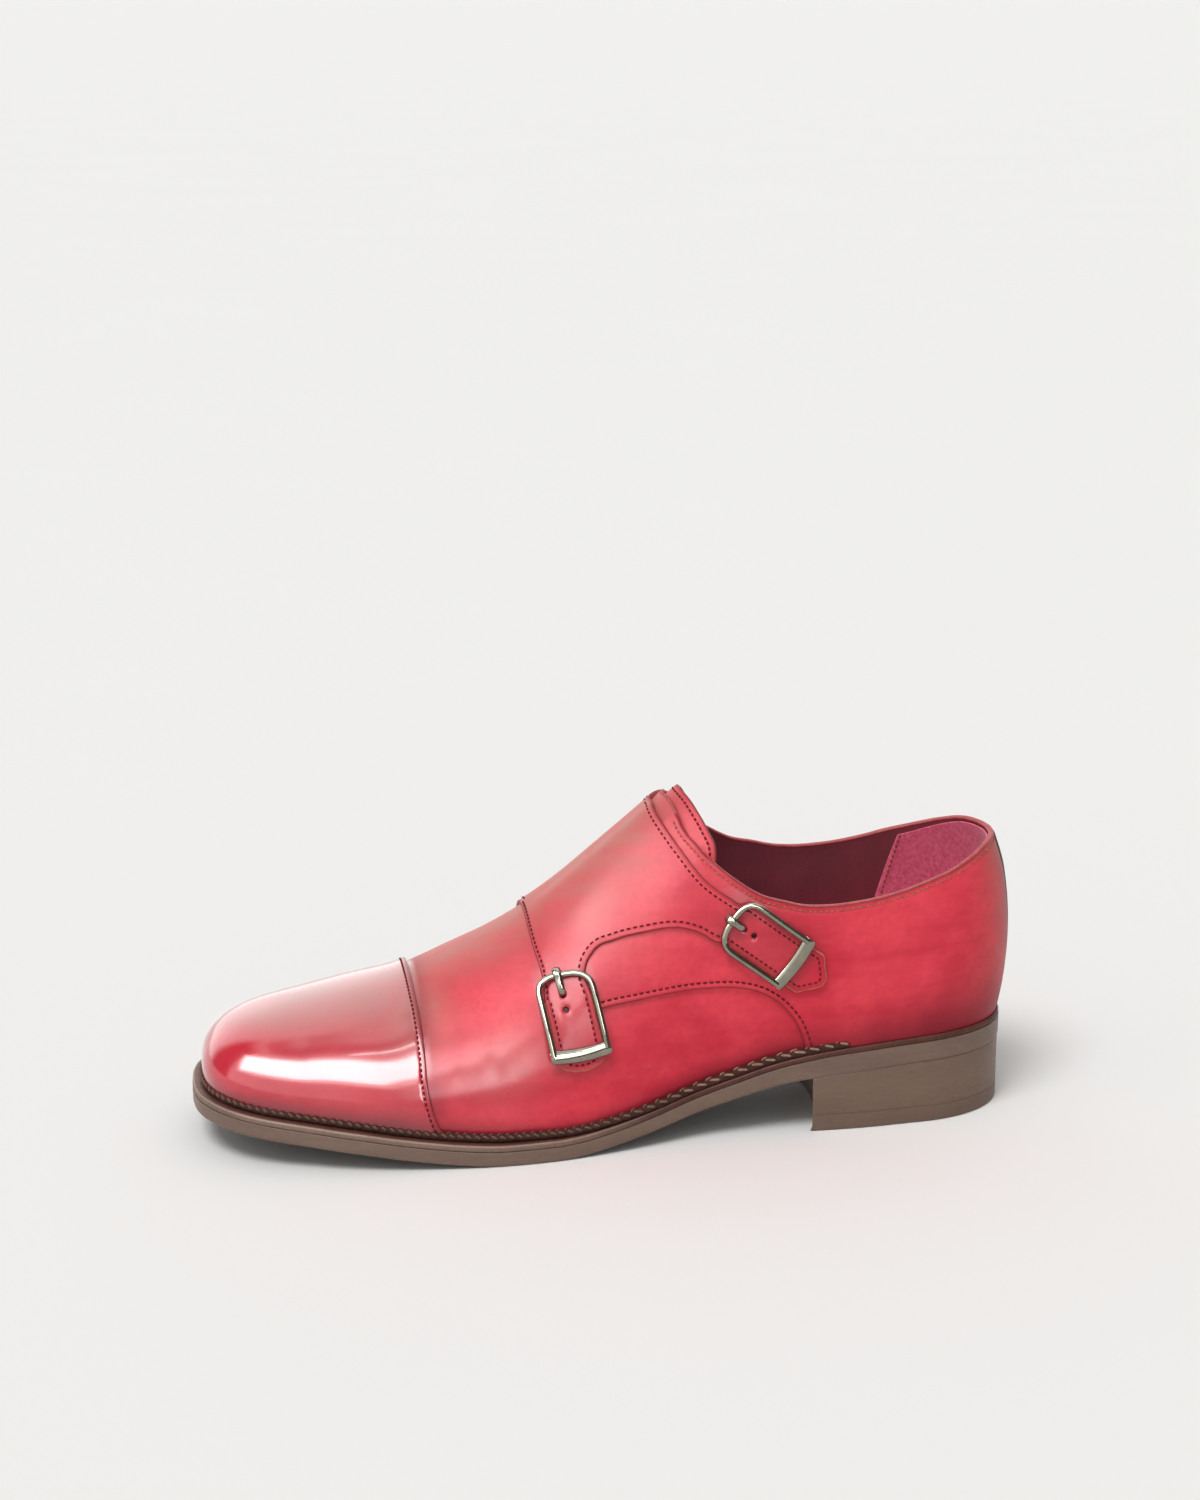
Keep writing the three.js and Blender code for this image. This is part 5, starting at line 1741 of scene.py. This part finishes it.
    def heel_grip(self) -> None:
        """The suede grip inside the heel, with its slanting front seams."""
        last = self.last
        across = np.linspace(-1, 1, 97)
        share = np.linspace(0.02, 1, 40)[:, None]
        top = COLLAR.read("outer", last.share(np.abs(across) * last.along(0.11)))
        v = share * top * 0.985
        front = last.along(0.155 - 0.055 * share)
        l = np.abs(across) * front
        side = np.where(across < 0, OUTER, INNER)
        s = side * (1 - v)
        edge = np.minimum((1 - np.abs(across)) * 40, 1)
        high = -self.wall + 0.05
        shape = slab(last, l, s, high - 0.1 - 0.55 * edge, high)
        self.shop.make("heel_grip", shape, [self.palette["suede"]], "lining")
        for side in (OUTER, INNER):
            rise = np.linspace(0.06, 0.97, 60)
            l = last.along(0.155 - 0.055 * rise) - 1.6
            s = side * (1 - rise * COLLAR.read("outer", last.share(l)))
            normal = last.normal(l, s)
            self.rows.append(Row(last.place(l, s, high - 0.62), -normal, 2.1, True))

    def build(self) -> None:
        """Makes every piece of the upper."""
        self.vamp()
        self.toe_cap()
        self.quarter()
        self.panel()
        self.tongue()
        self.collar_edge()
        self.back_strip()
        self.heel_grip()


@dataclass
class Stitching:
    """Rows of stitches as joined meshes: each stitch is a short bowed thread that dips at its ends."""

    shop: Workshop
    length_share: float = 0.8
    radius: float = 0.36
    rings: int = 7
    sides: int = 6

    def one(self) -> tuple[Array, Array]:
        """Points and quads of one stitch of length 1 and radius 1, along x."""
        turn = FULL_TURN * np.arange(self.sides) / self.sides
        x = np.linspace(-1, 1, self.rings)
        swell = np.sqrt(np.maximum(0.04, 1 - np.abs(x) ** 5))
        sink = -(np.abs(x) ** 4)
        ring = np.stack(
            [
                np.broadcast_to(x[:, None] / 2, (self.rings, self.sides)),
                swell[:, None] * np.cos(turn),
                swell[:, None] * np.sin(turn) + sink[:, None],
            ],
            -1,
        )
        return ring.reshape(-1, 3), grid_faces(self.rings, self.sides, round_columns=True)

    def laid(
        self, start: Array, end: Array, up: Array, length: Array | float, radius: float, lift: float
    ) -> tuple[Array, Array]:
        """Lays a stitch between each start and end.

        Args:
            start: Where each stitch begins.
            end: Where each ends.
            up: The direction of each one's top.
            length: How long they are.
            radius: How thick they are.
            lift: How far their middles rise over the line.

        Returns:
            The points of all stitches, and their middles.
        """
        template, _ = self.one()
        forwards = unit(end - start)
        across = unit(np.cross(up, forwards))
        up = np.cross(forwards, across)
        middle = (start + end) / 2 + lift * up
        long = forwards[:, None] * template[None, :, :1] * np.reshape(length, (-1, 1, 1))
        body = across[:, None] * template[None, :, 1:2] + up[:, None] * template[None, :, 2:]
        return (middle[:, None] + long + body * radius).reshape(-1, 3), middle

    def joined(self, parts: list[Array]) -> Shape:
        """Laid stitches as one shape."""
        template, quads = self.one()
        count = sum(len(part) for part in parts) // len(template)
        faces = quads[None] + np.arange(count)[:, None, None] * len(template)
        return Shape(np.concatenate(parts), [faces.reshape(-1, 4)], [0])

    def shape(self, rows: list[Row]) -> Shape:
        """All stitches of the rows as one shape."""
        parts = []
        for row in rows:
            pace = run_lengths(row.points)
            number = max(1, int(pace[-1] / row.pitch))
            at = (np.arange(number) + 0.5) * pace[-1] / number
            half = self.length_share * row.pitch / 2
            start, end = (read_rows(at + shift, pace, row.points) for shift in (-half, half))
            up = unit(read_rows(at, pace, row.up))
            parts.append(self.laid(start, end, up, 2 * half, self.radius, 0.45 * self.radius)[0])
        return self.joined(parts)

    def make(self, name: str, rows: list[Row], finish: bpy.types.Material) -> None:
        """Makes the joined stitches of the rows."""
        self.shop.make(name, self.shape(rows), [finish], "leather")


# The welt's rim: how far in from its edge, share of its height, and how worn it is

WELT_RIM = (
    (2.9, 1.0, 0), (1.7, 0.96, 0.1), (1.3, 0.9, 0.25), (1.0, 0.9, 0.45), (0.75, 1.02, 0.9), (0.45, 1.04, 1),
    (0.15, 0.93, 0.9), (0.0, 0.75, 0.55), (0.0, 0.05, 0.5), (0.06, -0.02, 0.5),
)

# Rows of stitches over the bead: begin and end in turns, begin and end in degrees, and radius

BEAD_STITCHES = ((0.10, 0.80, 10, 58, 0.46), (0.55, 1.05, 122, 70, 0.34))


@dataclass
class Bottom:
    """Outsole, heel, welt, stitched bead and insole. Millimetres and shares of the last's length."""

    shop: Workshop
    palette: Palette
    welt_setback: float = 0.15
    welt_reach: float = 4.5
    bead_radius: float = 1.5
    bead_out: float = 1.3
    bead_rise: float = 1.05
    forepart: tuple[float, float] = (0.4, 0.6)
    bead_end: float = 0.215
    heel_breast: float = 0.26
    breast_hollow: float = 5
    breast_skew: float = 3
    heel_setback: float = 0.3
    top_piece: float = 6
    wall: float = 1.6
    insole_thickness: float = 2.5

    @property
    def last(self) -> Last:
        """The last over the bottom."""
        return self.shop.last

    def stations(self, step: float = 1.6) -> Array:
        """Shares of the length at an even spacing along the feather edge."""
        return self.last.share(np.linspace(0, self.last.reach, int(self.last.reach / step)))

    def outsole(self) -> None:
        """The outsole: sections across the shoe with rounded edges and a trimmed upper rim."""
        last = self.last
        profile = np.array(
            [
                (1.1, 0.0), (0.45, 0.03), (0.12, 0.1), (0.0, 0.2), (0.0, 0.42), (-0.04, 0.6), (0.0, 0.78),
                (0.0, 0.86), (0.0, 0.94), (0.0, 0.98), (0.05, 0.995), (0.3, 1.0),
            ]
        )
        t = self.stations()
        columns = []
        for side, rows in ((OUTER, profile), (INNER, profile[::-1])):
            for inset, height in rows:
                trim = lambda share, inset=inset: inset * (1 - 0.8 * (1 - ease(share, 0.25, 0.29)))
                x, y = last.outline(t, side, lambda share, trim=trim: last.overhang(share) - trim(share))
                low, high = last.sole_bottom(x), last.sole_top(x)
                columns.append(np.stack([x, y, low + height * (high - low)], -1))
        shape = sweep(np.stack(columns, 1), pinched=True)
        # Downward faces take the second finish, the underside's painted shade.
        shape.split_underside()
        finishes = [self.palette["sole"], self.palette["sole_bottom"]]
        self.shop.make("outsole", shape, finishes, "sole", ["outsole"])

    def heel_plan(self, inset: float) -> Array:
        """The heel's outline in plan: from the breast's outer corner round the back, then the breast."""
        last = self.last
        t = last.share(np.linspace(0, float(last.along(self.heel_breast)), 64))
        moved = lambda share: last.overhang(share) - inset
        outer = np.stack(last.outline(t, OUTER, moved), -1)[::-1]
        inner = np.stack(last.outline(t, INNER, moved), -1)[1:]
        inner[:, 0] += self.breast_skew * ease(t[1:], self.heel_breast - 0.03, self.heel_breast)
        start, end = outer[0], inner[-1]
        share = np.linspace(1, 0, 30)[1:-1, None]
        breast = start + (end - start) * share
        breast[:, 0] += (4 * share * (1 - share))[:, 0] * (self.breast_hollow + inset)
        return np.concatenate([outer, inner, breast])

    def heel(self) -> None:
        """The top piece and the block of the heel, with softened edges."""
        gap = self.last.gap

        def ring(inset: float, height: Callable[[Array], Array]) -> Array:
            """The heel's outline moved in, at a height over each of its points."""
            plan = self.heel_plan(self.heel_setback + inset)
            return np.column_stack([plan, height(plan[:, 0])])

        levels = ((1.0, 0.0), (0.5, 0.08), (0.12, 0.35), (0.0, 0.8), (0.0, 5.3), (0.0, 6.1), (0.1, 6.16))
        rings = [ring(inset, lambda x, z=z: np.full_like(x, z)) for inset, z in levels]
        piece = sweep(np.stack(rings))
        self.shop.make("heel_top_piece", piece, [self.palette["top_piece"]], "top_piece", ["heel_top_piece"])
        low = self.top_piece + gap * 0.6
        shares = ((0.1, 0.0), (0.0, 0.01), (0.0, 0.04), (0.0, 0.5), (0.0, 0.955), (0.02, 0.992), (0.14, 1.0))

        def level(share: float) -> Callable[[Array], Array]:
            """The height at a share of the way from the top piece to the outsole."""
            return lambda x: low + share * (self.last.sole_bottom(x) - gap * 0.2 - low)

        rings = [ring(inset, level(share)) for inset, share in shares]
        self.shop.make("heel_block", sweep(np.stack(rings)), [self.palette["heel"]], "sole", ["heel_block"])

    def around(self, start: float, step: float) -> tuple[Array, Array]:
        """Shares and sides round the shoe from the outer side over the toe to the inner side."""
        first = float(self.last.along(start))
        count = int((self.last.reach - first) / step)
        t = self.last.share(np.linspace(first, self.last.reach, count))
        sides = np.concatenate([np.full(len(t), OUTER), np.full(len(t) - 1, INNER)])
        return np.concatenate([t, t[-2::-1]]), sides

    def welt(self) -> None:
        """The welt: a flat ring with a low ridge along its rounded outer rim."""
        last = self.last
        t, sides = self.around(0.0, 1.6)
        t, sides = t[:-1], sides[:-1]
        rows = [(lambda share: np.full_like(share, -self.welt_reach), height) for height in (0.0, 1.0)]
        for distance, height, _ in WELT_RIM:
            moved = lambda share, d=distance: last.overhang(share) - self.welt_setback - d
            rows.append((moved, height))
        columns = []
        for moved, height in rows:
            x, y = last.outline(t, sides, moved)
            z = last.welt_bottom(x) + height * last.welt - 0.25 * last.gap * (height == 0)
            columns.append(np.stack([x, y, z], -1))
        shape = sweep(np.stack(columns, 1), True)
        toning = [0, 0, *(wear for _, _, wear in WELT_RIM)]
        shape.values["taupe"] = np.outer(ease(t, *self.forepart), toning).ravel()
        self.shop.make("welt", shape, [self.palette["welt"]], "welt", ["welt"])

    def bead_line(self) -> tuple[Array, Array, Array, Array]:
        """The bead's middle line, its upward and outward directions, and the stitches up to each point."""
        last = self.last
        t, sides = self.around(self.bead_end, 0.5)
        x, y = last.outline(t, sides, lambda share: np.full_like(share, self.bead_out))
        path = np.stack([x, y, last.feather(x) + self.bead_rise], -1)
        pace = np.linalg.norm(np.diff(path, axis=0), axis=1)
        pitch = 5.4 - 2.4 * ease(t[1:], *self.forepart)
        turns = np.concatenate([[0], np.cumsum(pace / pitch)])
        forwards = unit(np.gradient(path, axis=0))
        above = np.broadcast_to([0.0, 0.0, 1.0], path.shape)
        out = unit(np.cross(above, forwards))
        out *= np.sign(out[0] @ np.array([0, -1, 0]))
        above = np.cross(forwards, out)
        above *= np.sign(above[:, 2:3])
        return path, above, out, turns

    def bead(self) -> None:
        """The storm bead: a ridge that swells between its stitches, and the slanting stitches over it."""
        path, above, out, turns = self.bead_line()
        pace = run_lengths(path)
        ends = np.minimum(pace, pace[-1] - pace)
        taper = 0.35 + 0.65 * np.sqrt(np.clip(ends / 7, 0, 1))
        turn = FULL_TURN * np.arange(18) / 18
        swell = 1 + 0.13 * np.abs(np.sin(HALF_TURN * turns)) - 0.09
        size = (taper * swell)[:, None]
        wide = (self.bead_radius * size * np.cos(turn))[..., None] * out[:, None]
        tall = (self.bead_radius * size * np.sin(turn))[..., None] * above[:, None]
        ridge = sweep(path[:, None] + wide + tall)
        self.shop.make("storm_bead", ridge, [self.palette["bead"]], "welt", ["storm_bead"])
        self.bead_stitches(path, above, out, turns, taper)

    def bead_stitches(self, path: Array, above: Array, out: Array, turns: Array, taper: Array) -> None:
        """Slanting stitches over the bead: one long row, and a thinner one that slants the other way.

        A stitch runs over the ridge from one angle to another, seen along it, where 0 is outwards and
        90 is up. Its place along the ridge is given in turns, of which there is one a pitch.

        Args:
            path: The bead's middle line.
            above: The upward direction at each of its points.
            out: The outward direction.
            turns: The stitches up to each point.
            taper: The bead's size as a share of its full one.
        """
        stitching = Stitching(self.shop)
        number = int(turns[-1])
        parts, taupe = [], []
        for first, second, low, high, radius in BEAD_STITCHES:
            wander = np.random.default_rng(7).uniform(-0.07, 0.07, (2, number))
            begin = np.arange(number) + first + wander[0]
            finish = np.arange(number) + second + wander[1]
            ends = []
            for at, angle in ((begin, np.radians(low)), (finish, np.radians(high))):
                base, up, side, size = (
                    read_rows(at, turns, rows) for rows in (path, above, out, taper[:, None])
                )
                away = side * np.cos(angle) + up * np.sin(angle)
                ends.append(base + self.bead_radius * size * away)
            start, end = ends
            half = np.radians((low + high) / 2)
            up, side = (read_rows((begin + finish) / 2, turns, rows) for rows in (above, out))
            face = unit(side * np.cos(half) + up * np.sin(half))
            length = np.linalg.norm(end - start, axis=1)
            points, middle = stitching.laid(start, end, face, length, radius, 0.22)
            parts.append(points)
            x = middle[:, 0]
            share = ease(self.last.share(self.last.reach - (x - x.min())), *self.forepart)
            taupe.append(np.repeat(share, len(points) // number))
        shape = stitching.joined(parts)
        shape.values["taupe"] = np.concatenate(taupe)
        self.shop.make("bead_thread", shape, [self.palette["bead_thread"]], "welt")

    def insole(self) -> None:
        """The insole with a slightly cupped sock on it."""
        last = self.last
        t = self.stations(2.5)
        inset = self.wall + 2.4 * last.gap
        ends = [last.outline(t, side, lambda share: np.full_like(share, -inset)) for side in (OUTER, INNER)]
        share = np.linspace(0, 1, 25)
        x = np.repeat(ends[0][0][:, None], len(share), 1)
        y = ends[0][1][:, None] + (ends[1][1] - ends[0][1])[:, None] * share
        cup = 1.2 * np.abs(2 * share - 1) ** 6
        top = last.feather(x) + self.insole_thickness + 0.2 + cup
        low = last.feather(x)
        upper = np.stack([x, y, top], -1)
        lower = np.stack([x, y, low], -1)[:, ::-1]
        rings = np.concatenate([upper, lower], 1)
        self.shop.make("insole", sweep(rings, pinched=True), [self.palette["lining"]], "lining", ["insole"])

    def build(self) -> None:
        """Makes every piece of the bottom."""
        self.outsole()
        self.heel()
        self.welt()
        self.bead()
        self.insole()


@dataclass
class Buckle:
    """A buckle: a round wire arch, a broad curved plate towards the strap's tip, and a prong."""

    shop: Workshop
    palette: Palette
    strap: Strap
    base: float
    width: float = 21.5
    wire: float = 2.3
    corner: float = 7.5
    squareness: float = 0.68
    plate: float = 4.6
    plate_thickness: float = 1.7
    bow: float = 0.9
    prong: float = 1.5
    prong_width: float = 3.0

    def on_strap(self, a: Array, b: Array, up: Array) -> Array:
        """Points along, across and above the strap's leather."""
        a, b, up = np.broadcast_arrays(np.asarray(a, float), np.asarray(b, float), np.asarray(up, float))
        places = self.strap.places(self.shop.last, a, b)
        return self.shop.last.place(places[..., 0], places[..., 1], self.base + up)

    def frame(self) -> None:
        """The wire round the strap and the plate between its legs."""
        gap = self.shop.last.gap
        rise = gap + self.wire / 2
        half = (self.width - self.wire) / 2
        top = (BUCKLE_LENGTH - self.wire) / 2
        bottom = BUCKLE_LENGTH / 2 - self.plate / 2
        bend = top - self.corner
        leg = np.linspace(bottom, -bend, 26)[:-1]
        turn = np.linspace(0, HALF_TURN, 61)
        arch_a = -bend - self.corner * np.maximum(np.sin(turn), 0) ** self.squareness
        arch_b = -half * arc(np.cos(turn), self.squareness)
        a = np.concatenate([leg, arch_a, leg[::-1]])
        b = np.concatenate([np.full_like(leg, -half), arch_b, np.full_like(leg, half)])
        path = self.on_strap(a, b, rise)
        above = unit(self.on_strap(a, b, rise + 1) - path)
        wire = tube(path, above, self.wire / 2, 16, 0.9)
        across = np.linspace(-self.width / 2, self.width / 2, 25)
        bowed = self.bow * np.cos(HALF_TURN * across / self.width)
        profile = (
            (-0.5, 0.12), (-0.47, 0.0), (0.47, 0.0), (0.5, 0.12), (0.5, 0.55), (0.44, 0.75), (0.3, 0.95),
            (0.2, 1.0), (-0.2, 1.0), (-0.3, 0.95), (-0.44, 0.75), (-0.5, 0.55),
        )
        end = np.minimum((self.width / 2 - np.abs(across)) / 0.5, 1)
        squash = 0.86 + 0.14 * np.sqrt(np.maximum(end, 0))
        columns = []
        for share, up in profile:
            along = bottom + bowed + share * self.plate * squash
            columns.append(self.on_strap(along, across, gap + up * self.plate_thickness * squash))
        shape = wire.joined(sweep(np.stack(columns, 1)))
        self.make(f"buckle_{self.strap.name}", shape)

    def tongue(self) -> None:
        """The prong: a flat tab folded round the arch that goes down into its hole."""
        gap = self.shop.last.gap
        hole = self.strap.holes[0]
        arch = -(BUCKLE_LENGTH - self.wire) / 2
        fold = self.wire / 2 + self.prong / 2
        turn = np.radians(np.linspace(205, 62, 22))
        around = np.stack([arch + fold * np.cos(turn), gap + self.wire / 2 + fold * np.sin(turn)], -1)
        end = np.array([[hole - 0.6, gap + self.prong * 0.75], [hole, -0.2], [hole + 0.1, -1.0]])
        steps = smooth_path(np.concatenate([around[::3], end]), (1, 1), 8)
        share = np.linspace(0, 1, len(steps))
        half = self.prong_width / 2 * (1 - 0.25 * ease(share, 0.55, 0.95))
        middle = self.on_strap(steps[:, 0], self.strap.hole, steps[:, 1])
        side = unit(self.on_strap(steps[:, 0], self.strap.hole + 1, steps[:, 1]) - middle)
        forwards = unit(np.gradient(middle, axis=0))
        above = np.cross(forwards, side)
        section = np.array(
            [(-1, -0.7), (-0.86, -1), (0.86, -1), (1, -0.7), (1, 0.35), (0.72, 0.95), (0.3, 1.1), (-0.3, 1.1),
             (-0.72, 0.95), (-1, 0.35)]
        )
        thick = self.prong / 2 * (1 - 0.2 * ease(share, 0.6, 0.95))
        wide = half[:, None, None] * section[None, :, :1] * side[:, None]
        tall = thick[:, None, None] * section[None, :, 1:] * above[:, None]
        self.make(f"prong_{self.strap.name}", sweep(middle[:, None] + wide + tall))

    def make(self, name: str, shape: Shape) -> None:
        """Makes a part of the buckle in place of its node."""
        self.shop.make(name, shape, [self.palette["nickel"]], "buckle", [name])

    def build(self) -> None:
        """Makes the buckle and its prong."""
        self.frame()
        self.tongue()


# The studio


@dataclass(frozen=True)
class Studio:
    """Pale floor, soft light and the photograph's view. Metres."""

    camera_place: tuple[float, float, float] = (-0.1554, -0.9675, 0.3972)
    camera_aim: tuple[float, float, float] = (-0.0024, -0.00165, 0.137)
    lens: float = 67.8
    floor_size: float = 2000
    floor_colour: Colour = (0.93, 0.925, 0.91)
    sky: float = 0.605
    mirrored_sky: float = 1.8
    dark_side: float = 0.35
    mirrored_dark_side: float = 0.14
    key: float = 1.5
    box_distance: float = 2.5
    long_box: float = 10.5
    veil_box: float = 2.8
    low_box: float = 9.5

    def floor(self) -> None:
        """A wide plain floor."""
        half = self.floor_size / 2
        mesh = bpy.data.meshes.new("floor")
        corners = [(-half, -half, 0), (half, -half, 0), (half, half, 0), (-half, half, 0)]
        mesh.from_pydata(corners, [], [(0, 1, 2, 3)])
        material, graph, shader = new_material("studio_floor")
        paper = graph.noise(graph.stretched((1, 1, 1)), 3, 3, 0.5)
        slightly_darker = tuple(0.985 * value for value in self.floor_colour)
        tone = graph.mix(paper, rgba(self.floor_colour), rgba(slightly_darker))
        graph.feed(shader, {"Base Color": tone, "Roughness": 0.9, "Specular IOR Level": 0.1})
        mesh.materials.append(material)
        floor = bpy.data.objects.new("floor", mesh)
        bpy.context.scene.collection.objects.link(floor)

    def aim(self, thing: bpy.types.Object, place: Sequence[float], aim: Sequence[float]) -> None:
        """Puts a camera or light at a place, turned towards another."""
        thing.location = place
        thing.rotation_euler = (Vector(aim) - Vector(place)).to_track_quat("-Z", "Y").to_euler()

    def box_light(self, name: str, place: Sequence[float], size: tuple[float, float], power: float) -> None:
        """A rectangular soft light on the shoe that shows in reflections only."""
        light = bpy.data.lights.new(name, "AREA")
        light.shape = "RECTANGLE"
        light.size, light.size_y = size
        light.energy = power
        thing = bpy.data.objects.new(name, light)
        bpy.context.scene.collection.objects.link(thing)
        self.aim(thing, place, (0, 0, 0.05))
        thing.visible_camera = False
        thing.visible_diffuse = False

    def world(self) -> None:
        """Soft surroundings with dim stretches: low on the right, a strip overhead, and at the left."""
        world = bpy.data.worlds.new("studio")
        bpy.context.scene.world = world
        world.use_nodes = True
        graph = Graph(world.node_tree)
        background = next(node for node in world.node_tree.nodes if node.type == "BACKGROUND")
        direction = graph.add("ShaderNodeTexCoord").outputs["Generated"]
        axes = graph.add("ShaderNodeSeparateXYZ", {0: direction})
        turn = graph.maths("ARCTAN2", axes.outputs["X"], graph.times(axes.outputs["Y"], -1.0))
        rise = graph.maths("ARCSINE", axes.outputs["Z"])

        def from_angle(angle: bpy.types.NodeSocket, low: float, high: float) -> bpy.types.NodeSocket:
            """One past an angle, with a soft start. Degrees."""
            return graph.remap(angle, math.radians(low), math.radians(high))

        def to_angle(angle: bpy.types.NodeSocket, low: float, high: float) -> bpy.types.NodeSocket:
            """One up to an angle, with a soft end. Degrees."""
            return graph.fall(angle, math.radians(low), math.radians(high))

        right = graph.times(from_angle(turn, -35, 20), to_angle(turn, 95, 150))
        dim = graph.times(right, to_angle(rise, 35, 65))
        gap = graph.times(from_angle(rise, 63, 67), to_angle(rise, 72, 80))
        ahead = to_angle(graph.maths("ABSOLUTE", turn), 110, 145)
        beside = graph.times(from_angle(turn, -138, -122), to_angle(turn, -96, -86))
        beside = graph.times(beside, to_angle(rise, 50, 66))
        above = graph.times(graph.times(gap, ahead), 0.7)
        dark = graph.maths("MAXIMUM", dim, graph.maths("MAXIMUM", beside, above))
        mirrored = graph.add("ShaderNodeLightPath").outputs["Is Glossy Ray"]
        sky = graph.plus(self.sky, graph.times(mirrored, self.mirrored_sky - self.sky))
        change = graph.times(mirrored, self.mirrored_dark_side - self.dark_side)
        drop = graph.times(dark, graph.minus(sky, graph.plus(change, self.dark_side)))
        strength = graph.minus(sky, drop)
        graph.tree.links.new(strength, background.inputs["Strength"])
        background.inputs["Color"].default_value = (1.0, 0.995, 0.985, 1.0)

    def mirrored_box(
        self, name: str, turn: tuple[float, float], rise: tuple[float, float], radiance: float
    ) -> None:
        """A soft box between two bearings and two heights in degrees, both seen from the shoe."""
        middle_turn, middle_rise = (math.radians(sum(pair) / 2) for pair in (turn, rise))
        away = self.box_distance
        flat = away * math.cos(middle_rise)
        place = (flat * math.sin(middle_turn), -flat * math.cos(middle_turn), away * math.sin(middle_rise))
        half_turn = math.radians(turn[1] - turn[0]) / 2
        half_rise = math.radians(rise[1] - rise[0]) / 2
        size = (2 * flat * math.tan(half_turn), 2 * away * math.tan(half_rise))
        power = radiance * math.pi * size[0] * size[1]
        self.box_light(name, place, size, power)

    def build(self) -> None:
        """Sets the stage."""
        scene = bpy.context.scene
        self.floor()
        self.world()
        camera = bpy.data.cameras.new("camera")
        camera.lens = self.lens
        camera.sensor_width = 36
        eye = bpy.data.objects.new("camera", camera)
        scene.collection.objects.link(eye)
        self.aim(eye, self.camera_place, self.camera_aim)
        scene.camera = eye
        sun = bpy.data.lights.new("key", "SUN")
        sun.energy = self.key
        sun.angle = math.radians(24)
        lamp = bpy.data.objects.new("key", sun)
        scene.collection.objects.link(lamp)
        self.aim(lamp, (-0.32, -0.38, 0.87), (0, 0, 0))
        lamp.visible_glossy = False
        self.mirrored_box("long_box", (-84, -1), (30, 58), self.long_box)
        self.mirrored_box("veil_box", (-87, 2), (25, 61), self.veil_box)
        self.mirrored_box("top_strip", (-34, -5), (63.5, 65.5), self.long_box)
        self.mirrored_box("low_box", (-1, 13), (8, 25), self.low_box)
        scene.view_settings.view_transform = "Standard"


def main() -> None:
    """Builds the shoe around the frame and sets the stage."""
    logging.basicConfig(level=logging.INFO, format="%(message)s")
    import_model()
    shop = Workshop.from_frame(Last())
    LOG.info("last's shift %s", shop.shift.round(3))
    groups = Finishes.build()
    palette = {key: finish.build(groups) for key, finish in FINISHES.items()}
    Bottom(shop, palette).build()
    upper = Upper(shop, palette)
    upper.build()
    stitching = Stitching(shop)
    stitching.make("seam_stitches", [row for row in upper.rows if not row.light], palette["thread"])
    stitching.make("topline_stitches", [row for row in upper.rows if row.light], palette["light_thread"])
    leather_top = upper.outer_layer + upper.panel_thickness
    for strap in STRAPS:
        Buckle(shop, palette, strap, leather_top).build()
    Studio().build()


if __name__ == "__main__":
    main()
